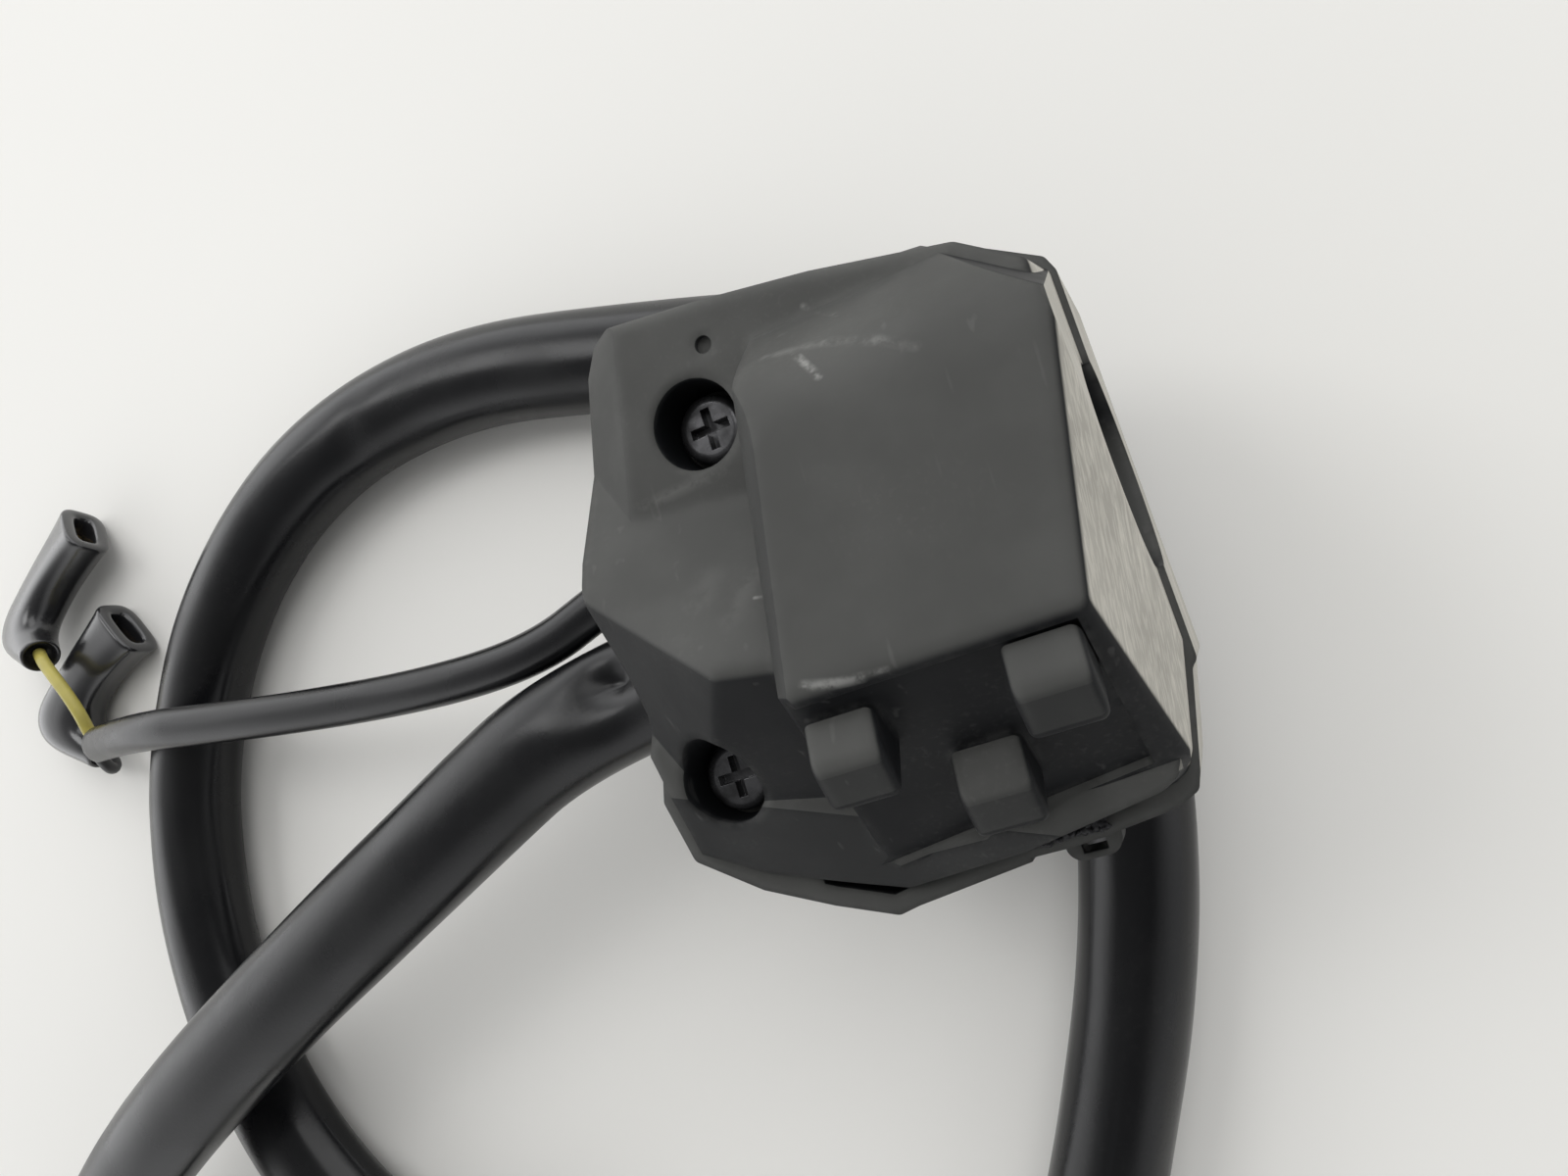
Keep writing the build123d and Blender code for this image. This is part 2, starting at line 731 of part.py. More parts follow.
with BuildPart() as turn_contact_bridges:
    with BuildSketch(Plane.XY.offset(carriage_arm_top)):
        with Locations(turn_centre):
            with Locations((-carriage_arm_offset, 0), (carriage_arm_offset, 0)):
                Rectangle(bridge_length, bridge_width)
    extrude(amount=bridge_thickness)
turn_contact_bridges.part.label = "turn_contact_bridges"
export_step(turn_contact_bridges.part, "parts/turn_contact_bridges.step")

with BuildPart() as turn_knob:
    with BuildSketch(Plane.XY.offset(knob_rim_z)):
        with Locations(turn_centre):
            RectangleRounded(knob_length, knob_width, knob_round)
    extrude(amount=knob_face_z - knob_rim_z)
    fillet(faces().sort_by(Axis.Z)[0].edges(), knob_edge_round)
    with BuildSketch(Plane.XY.offset(knob_rim_z)):
        with Locations(turn_centre):
            Circle(knob_recess_radius)
    extrude(amount=knob_recess_z - knob_rim_z, mode=Mode.SUBTRACT)
    with BuildSketch(Plane.XY.offset(knob_recess_z)):
        with Locations(turn_centre):
            Circle(stem_radius)
    extrude(amount=stem_top - knob_recess_z)
    with BuildSketch(Plane.XY.offset(carriage_boss_top)):
        with Locations(turn_centre):
            Circle(stem_radius)
            Circle(stem_radius - clip_groove, mode=Mode.SUBTRACT)
    extrude(amount=clip_thickness, mode=Mode.SUBTRACT)
turn_knob.part.label = "turn_knob"
export_step(turn_knob.part, "parts/turn_knob.step")

with BuildPart() as turn_stem_clip:
    with BuildSketch(Plane.XY.offset(carriage_boss_top)):
        with Locations(turn_centre):
            Circle(clip_radius)
            Circle(stem_radius - clip_groove, mode=Mode.SUBTRACT)
            with Locations((0, clip_radius)):
                Rectangle(2 * (stem_radius - clip_groove) - clip_groove, 2 * clip_radius, mode=Mode.SUBTRACT)
    extrude(amount=clip_thickness)
turn_stem_clip.part.label = "turn_stem_clip"
export_step(turn_stem_clip.part, "parts/turn_stem_clip.step")


def coil(low, high, radius, wire_radius, turns):
    """A compression spring between two heights, standing on the part's Z."""
    rise = high - low - 2 * wire_radius
    path = Helix(pitch=rise / turns, height=rise, radius=radius)
    section = Plane(origin=path @ 0, z_dir=path % 0) * Circle(wire_radius)
    return Pos(0, 0, low + wire_radius) * sweep(section, path=path, is_frenet=True)


spring_seat_gap = 0.02
turn_cancel_spring = Pos(*turn_centre, 0) * coil(
    knob_recess_z + spring_seat_gap,
    carriage_neck_end - spring_seat_gap,
    cancel_coil_radius,
    cancel_wire_radius,
    cancel_turns,
)
turn_cancel_spring.label = "turn_cancel_spring"
export_step(turn_cancel_spring, "parts/turn_cancel_spring.step")

with BuildPart() as turn_switch_base:
    with BuildSketch(Plane.XY.offset(turn_board_z)):
        with Locations((control_x + turn_board_shift, turn_y)):
            Rectangle(turn_board_length, turn_board_width)
        with Locations(turn_centre):
            with Locations(*turn_post_offsets):
                Circle(board_screw_radius + pin_gap, mode=Mode.SUBTRACT)
    extrude(amount=board_thickness)
turn_switch_base.part.label = "turn_switch_base"
export_step(turn_switch_base.part, "parts/turn_switch_base.step")

# Horn switch: a domed button on a coil spring over a contact disc
horn_button_radius = 7.9
horn_flange_radius = 9.2
horn_flange_thickness = 1.5
horn_cap_z = -30.0
horn_dome_z = -32.0
dome_side_share = 0.71
dome_rise_share = 0.49
horn_stem_top = -17.9
horn_contact_radius = 3.2
horn_contact_thickness = 0.6
horn_coil_radius = 4.6
horn_wire_radius = 0.4
horn_turns = 5.0
horn_board_length = 25.6
horn_board_width = 14.0

with BuildPart() as horn_button:
    with BuildSketch(Plane.XZ):
        with BuildLine():
            Polyline(
                (0, horn_stem_top),
                (stem_radius, horn_stem_top),
                (stem_radius, floor_z + carriage_gap + horn_flange_thickness),
                (horn_flange_radius, floor_z + carriage_gap + horn_flange_thickness),
                (horn_flange_radius, floor_z + carriage_gap),
                (horn_button_radius, floor_z + carriage_gap),
                (horn_button_radius, horn_cap_z),
            )
            rim = ThreePointArc(
                (horn_button_radius, horn_cap_z),
                (dome_side_share * horn_button_radius, horn_cap_z + dome_rise_share * (horn_dome_z - horn_cap_z)),
                (0, horn_dome_z),
            )
            Line((0, horn_dome_z), (0, horn_stem_top))
        make_face()
    revolve(axis=Axis.Z)
    fillet(edges().filter_by(lambda edge: abs(edge.center().Z - horn_cap_z) < pin_gap), rocker_round)
horn_button_placed = Pos(*horn_centre, 0) * horn_button.part
horn_button_placed.label = "horn_button"
export_step(horn_button_placed, "parts/horn_button.step")

horn_spring = Pos(*horn_centre, 0) * coil(
    floor_z + carriage_gap + horn_flange_thickness + spring_seat_gap,
    horn_board_z - spring_seat_gap,
    horn_coil_radius,
    horn_wire_radius,
    horn_turns,
)
horn_spring.label = "horn_spring"
export_step(horn_spring, "parts/horn_spring.step")

with BuildPart() as horn_contact_disc:
    with BuildSketch(Plane.XY.offset(horn_stem_top)):
        with Locations(horn_centre):
            Circle(horn_contact_radius)
    extrude(amount=horn_contact_thickness)
horn_contact_disc.part.label = "horn_contact_disc"
export_step(horn_contact_disc.part, "parts/horn_contact_disc.step")

with BuildPart() as horn_switch_base:
    with BuildSketch(Plane.XY.offset(horn_board_z)):
        with Locations(horn_centre):
            Rectangle(horn_board_length, horn_board_width)
            with Locations(*horn_post_offsets):
                Circle(board_screw_radius + pin_gap, mode=Mode.SUBTRACT)
    extrude(amount=board_thickness)
horn_switch_base.part.label = "horn_switch_base"
export_step(horn_switch_base.part, "parts/horn_switch_base.step")

# Small pan-head screws that hold the three bases and the loom's strap
small_head_radius = 1.8
small_head_height = 1.3
small_slot = 0.5


def small_screw(place, seat, depth):
    """A slotted pan-head screw with its head above a seat."""
    head = Pos(*place, seat) * Cylinder(
        small_head_radius, small_head_height, align=(Align.CENTER, Align.CENTER, Align.MIN)
    )
    slot = Pos(*place, seat + small_head_height) * Box(2 * small_head_radius, small_slot, 2 * small_slot)
    shank = Pos(*place, seat) * Cylinder(
        board_screw_radius, depth, align=(Align.CENTER, Align.CENTER, Align.MAX)
    )
    return head - slot + shank


screws = [
    small_screw(place, top + board_thickness, board_thickness + board_screw_depth - pin_gap)
    for places, top in post_sets
    for place in places
]
switch_base_screws = Compound(label="switch_base_screws", children=screws)
export_step(switch_base_screws, "parts/switch_base_screws.step")

# Strap over the loom's end, screwed to its post
strap_width = 6.0
strap_thickness = 1.2
strap_gap = 0.05
strap_tab_end = -18.7
strap_screw_depth = 3.5
strap_inner = loom_diameter / 2 + strap_gap
strap_outer = strap_inner + strap_thickness

with BuildPart() as loom_strap:
    with BuildSketch(Plane.YZ.offset(strap_x - strap_width / 2)):
        with Locations((loom_exit_y, loom_axis_z)):
            Circle(strap_outer)
            with Locations((0, -strap_outer)):
                Rectangle(2 * strap_outer, 2 * strap_outer, mode=Mode.SUBTRACT)
        with Locations((loom_exit_y + strap_outer - strap_thickness / 2, (loom_axis_z + floor_z) / 2)):
            Rectangle(strap_thickness, loom_axis_z - floor_z)
        with Locations(((strap_tab_end + loom_exit_y) / 2, strap_post_top + strap_thickness / 2)):
            Rectangle(loom_exit_y - strap_tab_end, strap_thickness)
        with Locations((loom_exit_y, loom_axis_z)):
            Circle(strap_inner, mode=Mode.SUBTRACT)
    extrude(amount=strap_width)
    with BuildSketch(Plane.XY.offset(strap_post_top)):
        with Locations((strap_x, strap_post_y)):
            Circle(board_screw_radius + pin_gap)
    extrude(amount=strap_thickness, mode=Mode.SUBTRACT)
loom_strap.part.label = "loom_strap"
export_step(loom_strap.part, "parts/loom_strap.step")

strap_screw = small_screw(
    (strap_x, strap_post_y), strap_post_top + strap_thickness, strap_thickness + strap_screw_depth
)
strap_screw.label = "loom_strap_screw"
export_step(strap_screw, "parts/loom_strap_screw.step")

# Loom and clutch switch lead: soft cords laid by hand on the table
loom_rest_z = table_z + loom_diameter / 2
loom_points = [
    (loom_inner_end, loom_exit_y, loom_axis_z),
    (-50.0, loom_exit_y, loom_axis_z),
    (-82.0, -15.5, -21.2),
    (-140.0, -39.5, -21.2),
    (-174.0, -57.0, -22.0),
    (-200.0, -78.0, -27.5),
    (-215.0, -107.0, -34.5),
    (-213.0, -138.0, -40.5),
    (-196.0, -164.0, loom_rest_z),
    (-168.0, -180.0, loom_rest_z),
    (-132.0, -184.0, loom_rest_z),
    (-94.0, -178.0, loom_rest_z),
    (-58.0, -160.0, loom_rest_z),
    (-30.0, -131.0, loom_rest_z),
    (-7.0, -92.0, loom_rest_z),
    (11.0, -56.0, loom_rest_z),
    (19.0, -22.0, loom_rest_z),
    (13.0, 12.0, loom_rest_z),
    (-6.0, 38.0, loom_rest_z),
    (-36.0, 49.0, loom_rest_z),
    (-72.0, 60.0, loom_rest_z),
    (-106.0, 57.0, loom_rest_z),
    (-134.0, 40.0, loom_rest_z),
    (-152.0, 14.0, loom_rest_z),
    (-160.0, -16.0, loom_rest_z),
    (-158.0, -46.0, loom_rest_z),
    (-147.0, -72.0, loom_rest_z),
    (-127.0, -93.0, loom_rest_z),
    (-100.0, -104.0, loom_rest_z),
]
lead_end = (-169.5, 22.3, -38.0)
lead_points = [
    (lead_inner_end, lead_exit_y, lead_exit_z),
    (-38.0, lead_exit_y, lead_exit_z),
    (-54.0, 10.4, -21.3),
    (-76.0, 10.4, -23.0),
    (-104.0, 12.6, -25.3),
    (-128.0, 16.5, -26.4),
    (-149.0, 20.5, -28.2),
    lead_end,
]


def cord(points, diameter):
    """A round cord along a route of straight runs joined by tangent bends."""
    path = FilletPolyline(*points, radius=bend_radii(points))
    section = Plane(origin=path @ 0, z_dir=path % 0) * Circle(diameter / 2)
    print("cord radii", [round(r, 1) for r in bend_radii(points)], "length", round(path.length, 1))
    return sweep(section, path=path)


loom_sleeve = cord(loom_points, loom_diameter)
loom_sleeve.label = "loom_sleeve"
export_step(loom_sleeve, "parts/loom_sleeve.step")

clutch_lead_sleeve = cord(lead_points, lead_diameter)
clutch_lead_sleeve.label = "clutch_lead_sleeve"
export_step(clutch_lead_sleeve, "parts/clutch_lead_sleeve.step")

# Loom's far end: tape, wires and a white six-way connector
tape_length = 12.0
tape_thickness = 0.5
tape_slack = 0.05
connector_gap = 14.0
connector_length = 20.0
connector_width = 18.0
connector_height = 13.0
connector_round = 1.0
cavity_size = 3.4
cavity_depth = 14.0
cavity_pitch = 5.4
cavity_row = 2.9
pin_size = 1.6
pin_reach = 9.0
latch_length = 12.0
latch_width = 5.0
latch_height = 1.6
loom_wire_diameter = 2.0
bundle_pitch = 3.0
bundle_row = 1.7
wire_straight = 4.0
loom_end = loom_points[-1]
loom_heading = math.degrees(
    math.atan2(loom_points[-1][1] - loom_points[-2][1], loom_points[-1][0] - loom_points[-2][0])
)
loom_end_place = Pos(*loom_end) * Rot(0, 0, loom_heading)
connector_drop = table_z + connector_height / 2 - loom_rest_z
ways = [(column, row) for column in (-1, 0, 1) for row in (-1, 1)]

with BuildPart() as loom_end_tape:
    with BuildSketch(Plane.YZ.offset(-tape_length)):
        Circle(loom_diameter / 2 + tape_thickness)
        Circle(loom_diameter / 2 + tape_slack, mode=Mode.SUBTRACT)
    extrude(amount=tape_length - tape_thickness)
loom_end_tape_placed = loom_end_place * loom_end_tape.part
loom_end_tape_placed.label = "loom_end_tape"
export_step(loom_end_tape_placed, "parts/loom_end_tape.step")

with BuildPart() as loom_connector:
    with BuildSketch(Plane.YZ.offset(connector_gap)):
        with Locations((0, connector_drop)):
            RectangleRounded(connector_width, connector_height, connector_round)
    extrude(amount=connector_length)
    with BuildSketch(Plane.YZ.offset(connector_gap + connector_length)):
        with Locations((0, connector_drop)):
            with Locations(*[(column * cavity_pitch, row * cavity_row) for column, row in ways]):
                Rectangle(cavity_size, cavity_size)
    extrude(amount=-cavity_depth, mode=Mode.SUBTRACT)
    with BuildSketch(Plane.XZ):
        Polygon(
            (connector_gap + connector_length - latch_length, connector_drop + connector_height / 2),
            (connector_gap + connector_length, connector_drop + connector_height / 2),
            (connector_gap + connector_length, connector_drop + connector_height / 2 + latch_height),
            align=None,
        )
    extrude(amount=latch_width / 2, both=True)
loom_connector_placed = loom_end_place * loom_connector.part
loom_connector_placed.label = "loom_connector"
export_step(loom_connector_placed, "parts/loom_connector.step")

with BuildPart() as connector_terminals:
    with BuildSketch(Plane.YZ.offset(connector_gap + connector_length - cavity_depth)):
        with Locations((0, connector_drop)):
            with Locations(*[(column * cavity_pitch, row * cavity_row) for column, row in ways]):
                Rectangle(pin_size, pin_size)
    extrude(amount=pin_reach)
connector_terminals_placed = loom_end_place * connector_terminals.part
connector_terminals_placed.label = "connector_terminals"
export_step(connector_terminals_placed, "parts/connector_terminals.step")


def wire_points(column, row):
    """Route of one wire from the loom's end to its way in the connector."""
    start_y, start_z = column * bundle_pitch, row * bundle_row
    end_y, end_z = column * cavity_pitch, row * cavity_row + connector_drop
    local = [
        (0, start_y, start_z),
        (wire_straight, start_y, start_z),
        (connector_gap - wire_straight, end_y, end_z),
        (connector_gap, end_y, end_z),
    ]
    return [tuple((loom_end_place * Pos(*p)).position) for p in local]


loom_wires = Compound(
    label="loom_wires",
    children=[cord(wire_points(column, row), loom_wire_diameter) for column, row in ways],
)
export_step(loom_wires, "parts/loom_wires.step")

# Short wires from the loom's inner end to the three switch bases
inner_wire_diameter = 1.8
beam_board_edge = beam_y - beam_board_width / 2
turn_board_edge = control_x + turn_board_shift - turn_board_length / 2
horn_board_edge = horn_y + horn_board_width / 2
beam_board_mid = beam_board_z + board_thickness / 2
turn_board_mid = turn_board_z + board_thickness / 2
horn_board_mid = horn_board_z + board_thickness / 2
inner_wire_routes = [
    [
        (loom_inner_end, 1.2, -18.4),
        (-5.6, 1.2, -18.4),
        (-3.8, 8.6, beam_board_mid),
        (-3.8, beam_board_edge, beam_board_mid),
    ],
    [
        (loom_inner_end, -3.0, -16.2),
        (-5.9, -3.0, -16.2),
        (-4.4, -3.0, turn_board_mid),
        (turn_board_edge, -3.0, turn_board_mid),
    ],
    [
        (loom_inner_end, -6.6, -18.0),
        (-4.6, -6.6, -18.0),
        (-4.4, -9.6, horn_board_mid),
        (-4.4, horn_board_edge, horn_board_mid),
    ],
]
inner_wires = Compound(
    label="inner_wires", children=[cord(route, inner_wire_diameter) for route in inner_wire_routes]
)
export_step(inner_wires, "parts/inner_wires.step")

# Clutch switch wires and their two flag boots with spade receptacles
boot_length = 27.0
boot_back = 5.5
boot_width_back = 11.0
boot_width_mouth = 12.6
boot_height = 8.5
boot_corner = 4.0
boot_round = 2.0
boot_turn = -76.0
neck_length = 14.0
neck_root_radius = 4.2
neck_end_radius = 3.6
boot_cavity_width = 9.4
boot_cavity_height = 4.6
boot_cavity_depth = 15.0
spade_width = 7.4
spade_height = 2.4
spade_length = 11.0
spade_slot_width = 6.4
spade_slot_height = 0.9
boot_a_elbow = (-189.0, 52.5, -43.9)
boot_a_heading = 31.0
boot_a_tilt = -24.0
boot_b_elbow = (-187.5, 32.0, table_z + boot_height / 2)
boot_b_heading = 28.0
boot_a_place = Pos(*boot_a_elbow) * Rot(0, 0, boot_a_heading) * Rot(boot_a_tilt, 0, 0)
boot_b_place = Pos(*boot_b_elbow) * Rot(0, 0, boot_b_heading)

with BuildPart() as terminal_boot:
    with BuildSketch(Plane.XY.offset(-boot_height / 2)):
        Polygon(
            (-boot_back, -boot_width_back / 2),
            (boot_length, -boot_width_mouth / 2),
            (boot_length, boot_width_mouth / 2),
            (-boot_back, boot_width_back / 2),
            align=None,
        )
        fillet(vertices().sort_by(Axis.X)[0:2], boot_corner)
    extrude(amount=boot_height)
    rims = faces().sort_by(Axis.Z)
    fillet(rims[0].edges() + rims[-1].edges(), boot_round)
    with BuildSketch(Plane(origin=(0, 0, 0), z_dir=Vector(1, 0, 0).rotate(Axis.Z, boot_turn))):
        Circle(neck_root_radius)
    with BuildSketch(
        Plane(
            origin=Vector(neck_length, 0, 0).rotate(Axis.Z, boot_turn),
            z_dir=Vector(1, 0, 0).rotate(Axis.Z, boot_turn),
        )
    ):
        Circle(neck_end_radius)
    loft()
    with BuildSketch(Plane.YZ.offset(boot_length)):
        Rectangle(boot_cavity_width, boot_cavity_height)
    extrude(amount=-boot_cavity_depth, mode=Mode.SUBTRACT)

with BuildPart() as spade_receptacle:
    with BuildSketch(Plane.YZ.offset(boot_length - boot_cavity_depth)):
        Rectangle(spade_width, spade_height)
    extrude(amount=spade_length)
    with BuildSketch(Plane.YZ.offset(boot_length - boot_cavity_depth + spade_length)):
        Rectangle(spade_slot_width, spade_slot_height)
    extrude(amount=prong_plate - spade_length, mode=Mode.SUBTRACT)

terminal_boot_a = boot_a_place * terminal_boot.part
terminal_boot_a.label = "terminal_boot_a"
export_step(terminal_boot_a, "parts/terminal_boot_a.step")
terminal_boot_b = boot_b_place * terminal_boot.part
terminal_boot_b.label = "terminal_boot_b"
export_step(terminal_boot_b, "parts/terminal_boot_b.step")
spade_terminals = Compound(
    label="spade_terminals",
    children=[boot_a_place * spade_receptacle.part, boot_b_place * spade_receptacle.part],
)
export_step(spade_terminals, "parts/spade_terminals.step")

wire_lead_out = 3.5
wire_split = 1.35
neck_end = Vector(neck_length, 0, 0).rotate(Axis.Z, boot_turn)
neck_mouth = Vector(neck_length + wire_lead_out, 0, 0).rotate(Axis.Z, boot_turn)
lead_end_plane = Plane(origin=lead_end, z_dir=Vector(*lead_end) - Vector(*lead_points[-2]))
across = lead_end_plane.to_local_coords(Vector(lead_end[0], lead_end[1] + wire_split, lead_end[2]))
across = (across.X, across.Y, 0)
back_across = (-across[0], -across[1], 0)
lead_out = (0, 0, wire_lead_out)


def on_lead_end(*steps):
    """A point given by steps from the lead's end, in the plane of its end face."""
    return tuple(lead_end_plane.from_local_coords(tuple(sum(values) for values in zip(*steps))))


yellow_points = [
    on_lead_end(across),
    on_lead_end(across, lead_out),
    (-171.5, 31.0, -36.8),
    tuple((boot_a_place * Pos(*neck_mouth)).position),
    tuple((boot_a_place * Pos(*neck_end)).position),
]
black_points = [
    on_lead_end(back_across),
    on_lead_end(back_across, lead_out),
    (-174.6, 17.4, -43.4),
    tuple((boot_b_place * Pos(*neck_mouth)).position),
    tuple((boot_b_place * Pos(*neck_end)).position),
]
clutch_wire_yellow = cord(yellow_points, wire_diameter)
clutch_wire_yellow.label = "clutch_wire_yellow"
export_step(clutch_wire_yellow, "parts/clutch_wire_yellow.step")
clutch_wire_black = cord(black_points, wire_diameter)
clutch_wire_black.label = "clutch_wire_black"
export_step(clutch_wire_black, "parts/clutch_wire_black.step")
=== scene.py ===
"""Handlebar switch cluster on a pale table: finishes and soft pieces round the fixed CAD frame."""

from __future__ import annotations

import json
import logging
import math
from dataclasses import dataclass, field
from enum import Enum
from typing import Iterable, Sequence

import bmesh
import bpy
import numpy as np
from mathutils import Matrix, Vector, noise

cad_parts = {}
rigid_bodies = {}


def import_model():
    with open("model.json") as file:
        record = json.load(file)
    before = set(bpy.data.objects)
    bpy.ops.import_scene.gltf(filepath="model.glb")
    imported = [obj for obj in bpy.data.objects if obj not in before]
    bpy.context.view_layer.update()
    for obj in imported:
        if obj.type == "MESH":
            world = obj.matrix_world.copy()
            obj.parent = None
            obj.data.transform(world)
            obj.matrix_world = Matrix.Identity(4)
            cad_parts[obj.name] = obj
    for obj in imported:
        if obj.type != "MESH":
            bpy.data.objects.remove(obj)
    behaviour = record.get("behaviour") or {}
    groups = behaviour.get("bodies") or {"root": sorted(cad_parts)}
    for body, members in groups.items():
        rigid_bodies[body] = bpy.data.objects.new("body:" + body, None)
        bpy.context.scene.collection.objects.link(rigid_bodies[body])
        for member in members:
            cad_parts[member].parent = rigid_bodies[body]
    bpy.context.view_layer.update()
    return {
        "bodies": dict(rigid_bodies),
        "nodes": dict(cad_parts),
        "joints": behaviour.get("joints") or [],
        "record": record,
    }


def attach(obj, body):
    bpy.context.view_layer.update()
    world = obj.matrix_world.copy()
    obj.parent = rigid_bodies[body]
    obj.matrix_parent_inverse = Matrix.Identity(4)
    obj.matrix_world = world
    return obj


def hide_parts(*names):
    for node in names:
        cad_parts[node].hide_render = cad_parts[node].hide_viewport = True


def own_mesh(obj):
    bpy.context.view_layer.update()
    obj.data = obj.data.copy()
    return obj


LOG = logging.getLogger("switch_cluster")

Point = tuple[float, float, float]
Colour = tuple[float, float, float]
Socket = bpy.types.NodeSocket
Node = bpy.types.Node
NodeTree = bpy.types.NodeTree
Object = bpy.types.Object
Mesh = bpy.types.Mesh
Material = bpy.types.Material

# Socket types of the trees' inputs and outputs
FLOAT = "NodeSocketFloat"
INTEGER = "NodeSocketInt"
VECTOR = "NodeSocketVector"
GEOMETRY = "NodeSocketGeometry"
MATERIAL = "NodeSocketMaterial"

MM = 0.001
TABLE_Z = -0.05

# Dust on the casing and on the vinyl, and the pale colour of the end face: its scuffed bare plastic,
# with a painted sheen over the whole face
PLASTIC_DUST: Colour = (0.36, 0.35, 0.33)
VINYL_DUST: Colour = (0.34, 0.33, 0.31)
SCUFF_AND_SHEEN_PALE: Colour = (0.52, 0.50, 0.445)

# Where along X the scuffed end face with its painted sheen begins, and how squarely such a face looks
# along X
SCUFF_AND_SHEEN_START = (0.0243, 0.0255)
SCUFF_AND_SHEEN_FACING = (0.8, 0.97)

# Its long and its broad scratches: scale, stretch, amount and weight
SCUFF_LINES = ((3200.0, 0.016, 1.0, 0.16), (1500.0, 0.03, 0.8, 0.12))

# The way the lit faces look, and how squarely a face has to look that way; faces turned away from the
# light are painted in shade
LIT_FACE_TOWARDS: Point = (0.0, 0.31, 0.95)
LIT_FACE_SPAN = (0.50, 0.92)

# Cosines between which a rounded normal shows an edge
EDGE_TURN = (0.995, 0.86)

# The slopes that dust lies on, by how far they look up
DUST_SLOPE = (0.1, 0.9)

# The noise values between which each effect fades in
EDGE_BREAK = (0.42, 0.62)
STREAK_BREAK = (0.38, 0.6)
MOTTLE = (0.3, 0.7)
DUST_PATCHES = (0.4, 0.75)
DUST_SPECKS = (0.5, 0.8)

# Steps in each span of a cord's line and of a wire, and round a spring's turn
CORD_STEPS = 24
WIRE_STEPS = 10
SPIRAL_STEPS = 28

# Points of a line closer than this, in metres, are one
SAME_POINT = 1e-7

# A dent is felt this many times its length away
DENT_REACH = 2.5


class Slot(Enum):
    """The record's material slots that the pieces take their finish from."""

    CASING = "casing_plastic"
    CONTROL = "control_plastic"
    BOARD = "board_plastic"
    BRASS = "contact_brass"
    ZINC = "zinc_steel"
    STEEL = "bare_steel"
    SLEEVE = "soft_sleeve"
    BOOT = "boot_vinyl"
    NYLON = "white_nylon"
    YELLOW = "yellow_wire"
    BLACK = "black_wire"


class FarEnd(Enum):
    """What a free cord ends in."""

    CONNECTOR = "connector"


# --- Shader helpers ---------------------------------------------------------------------------


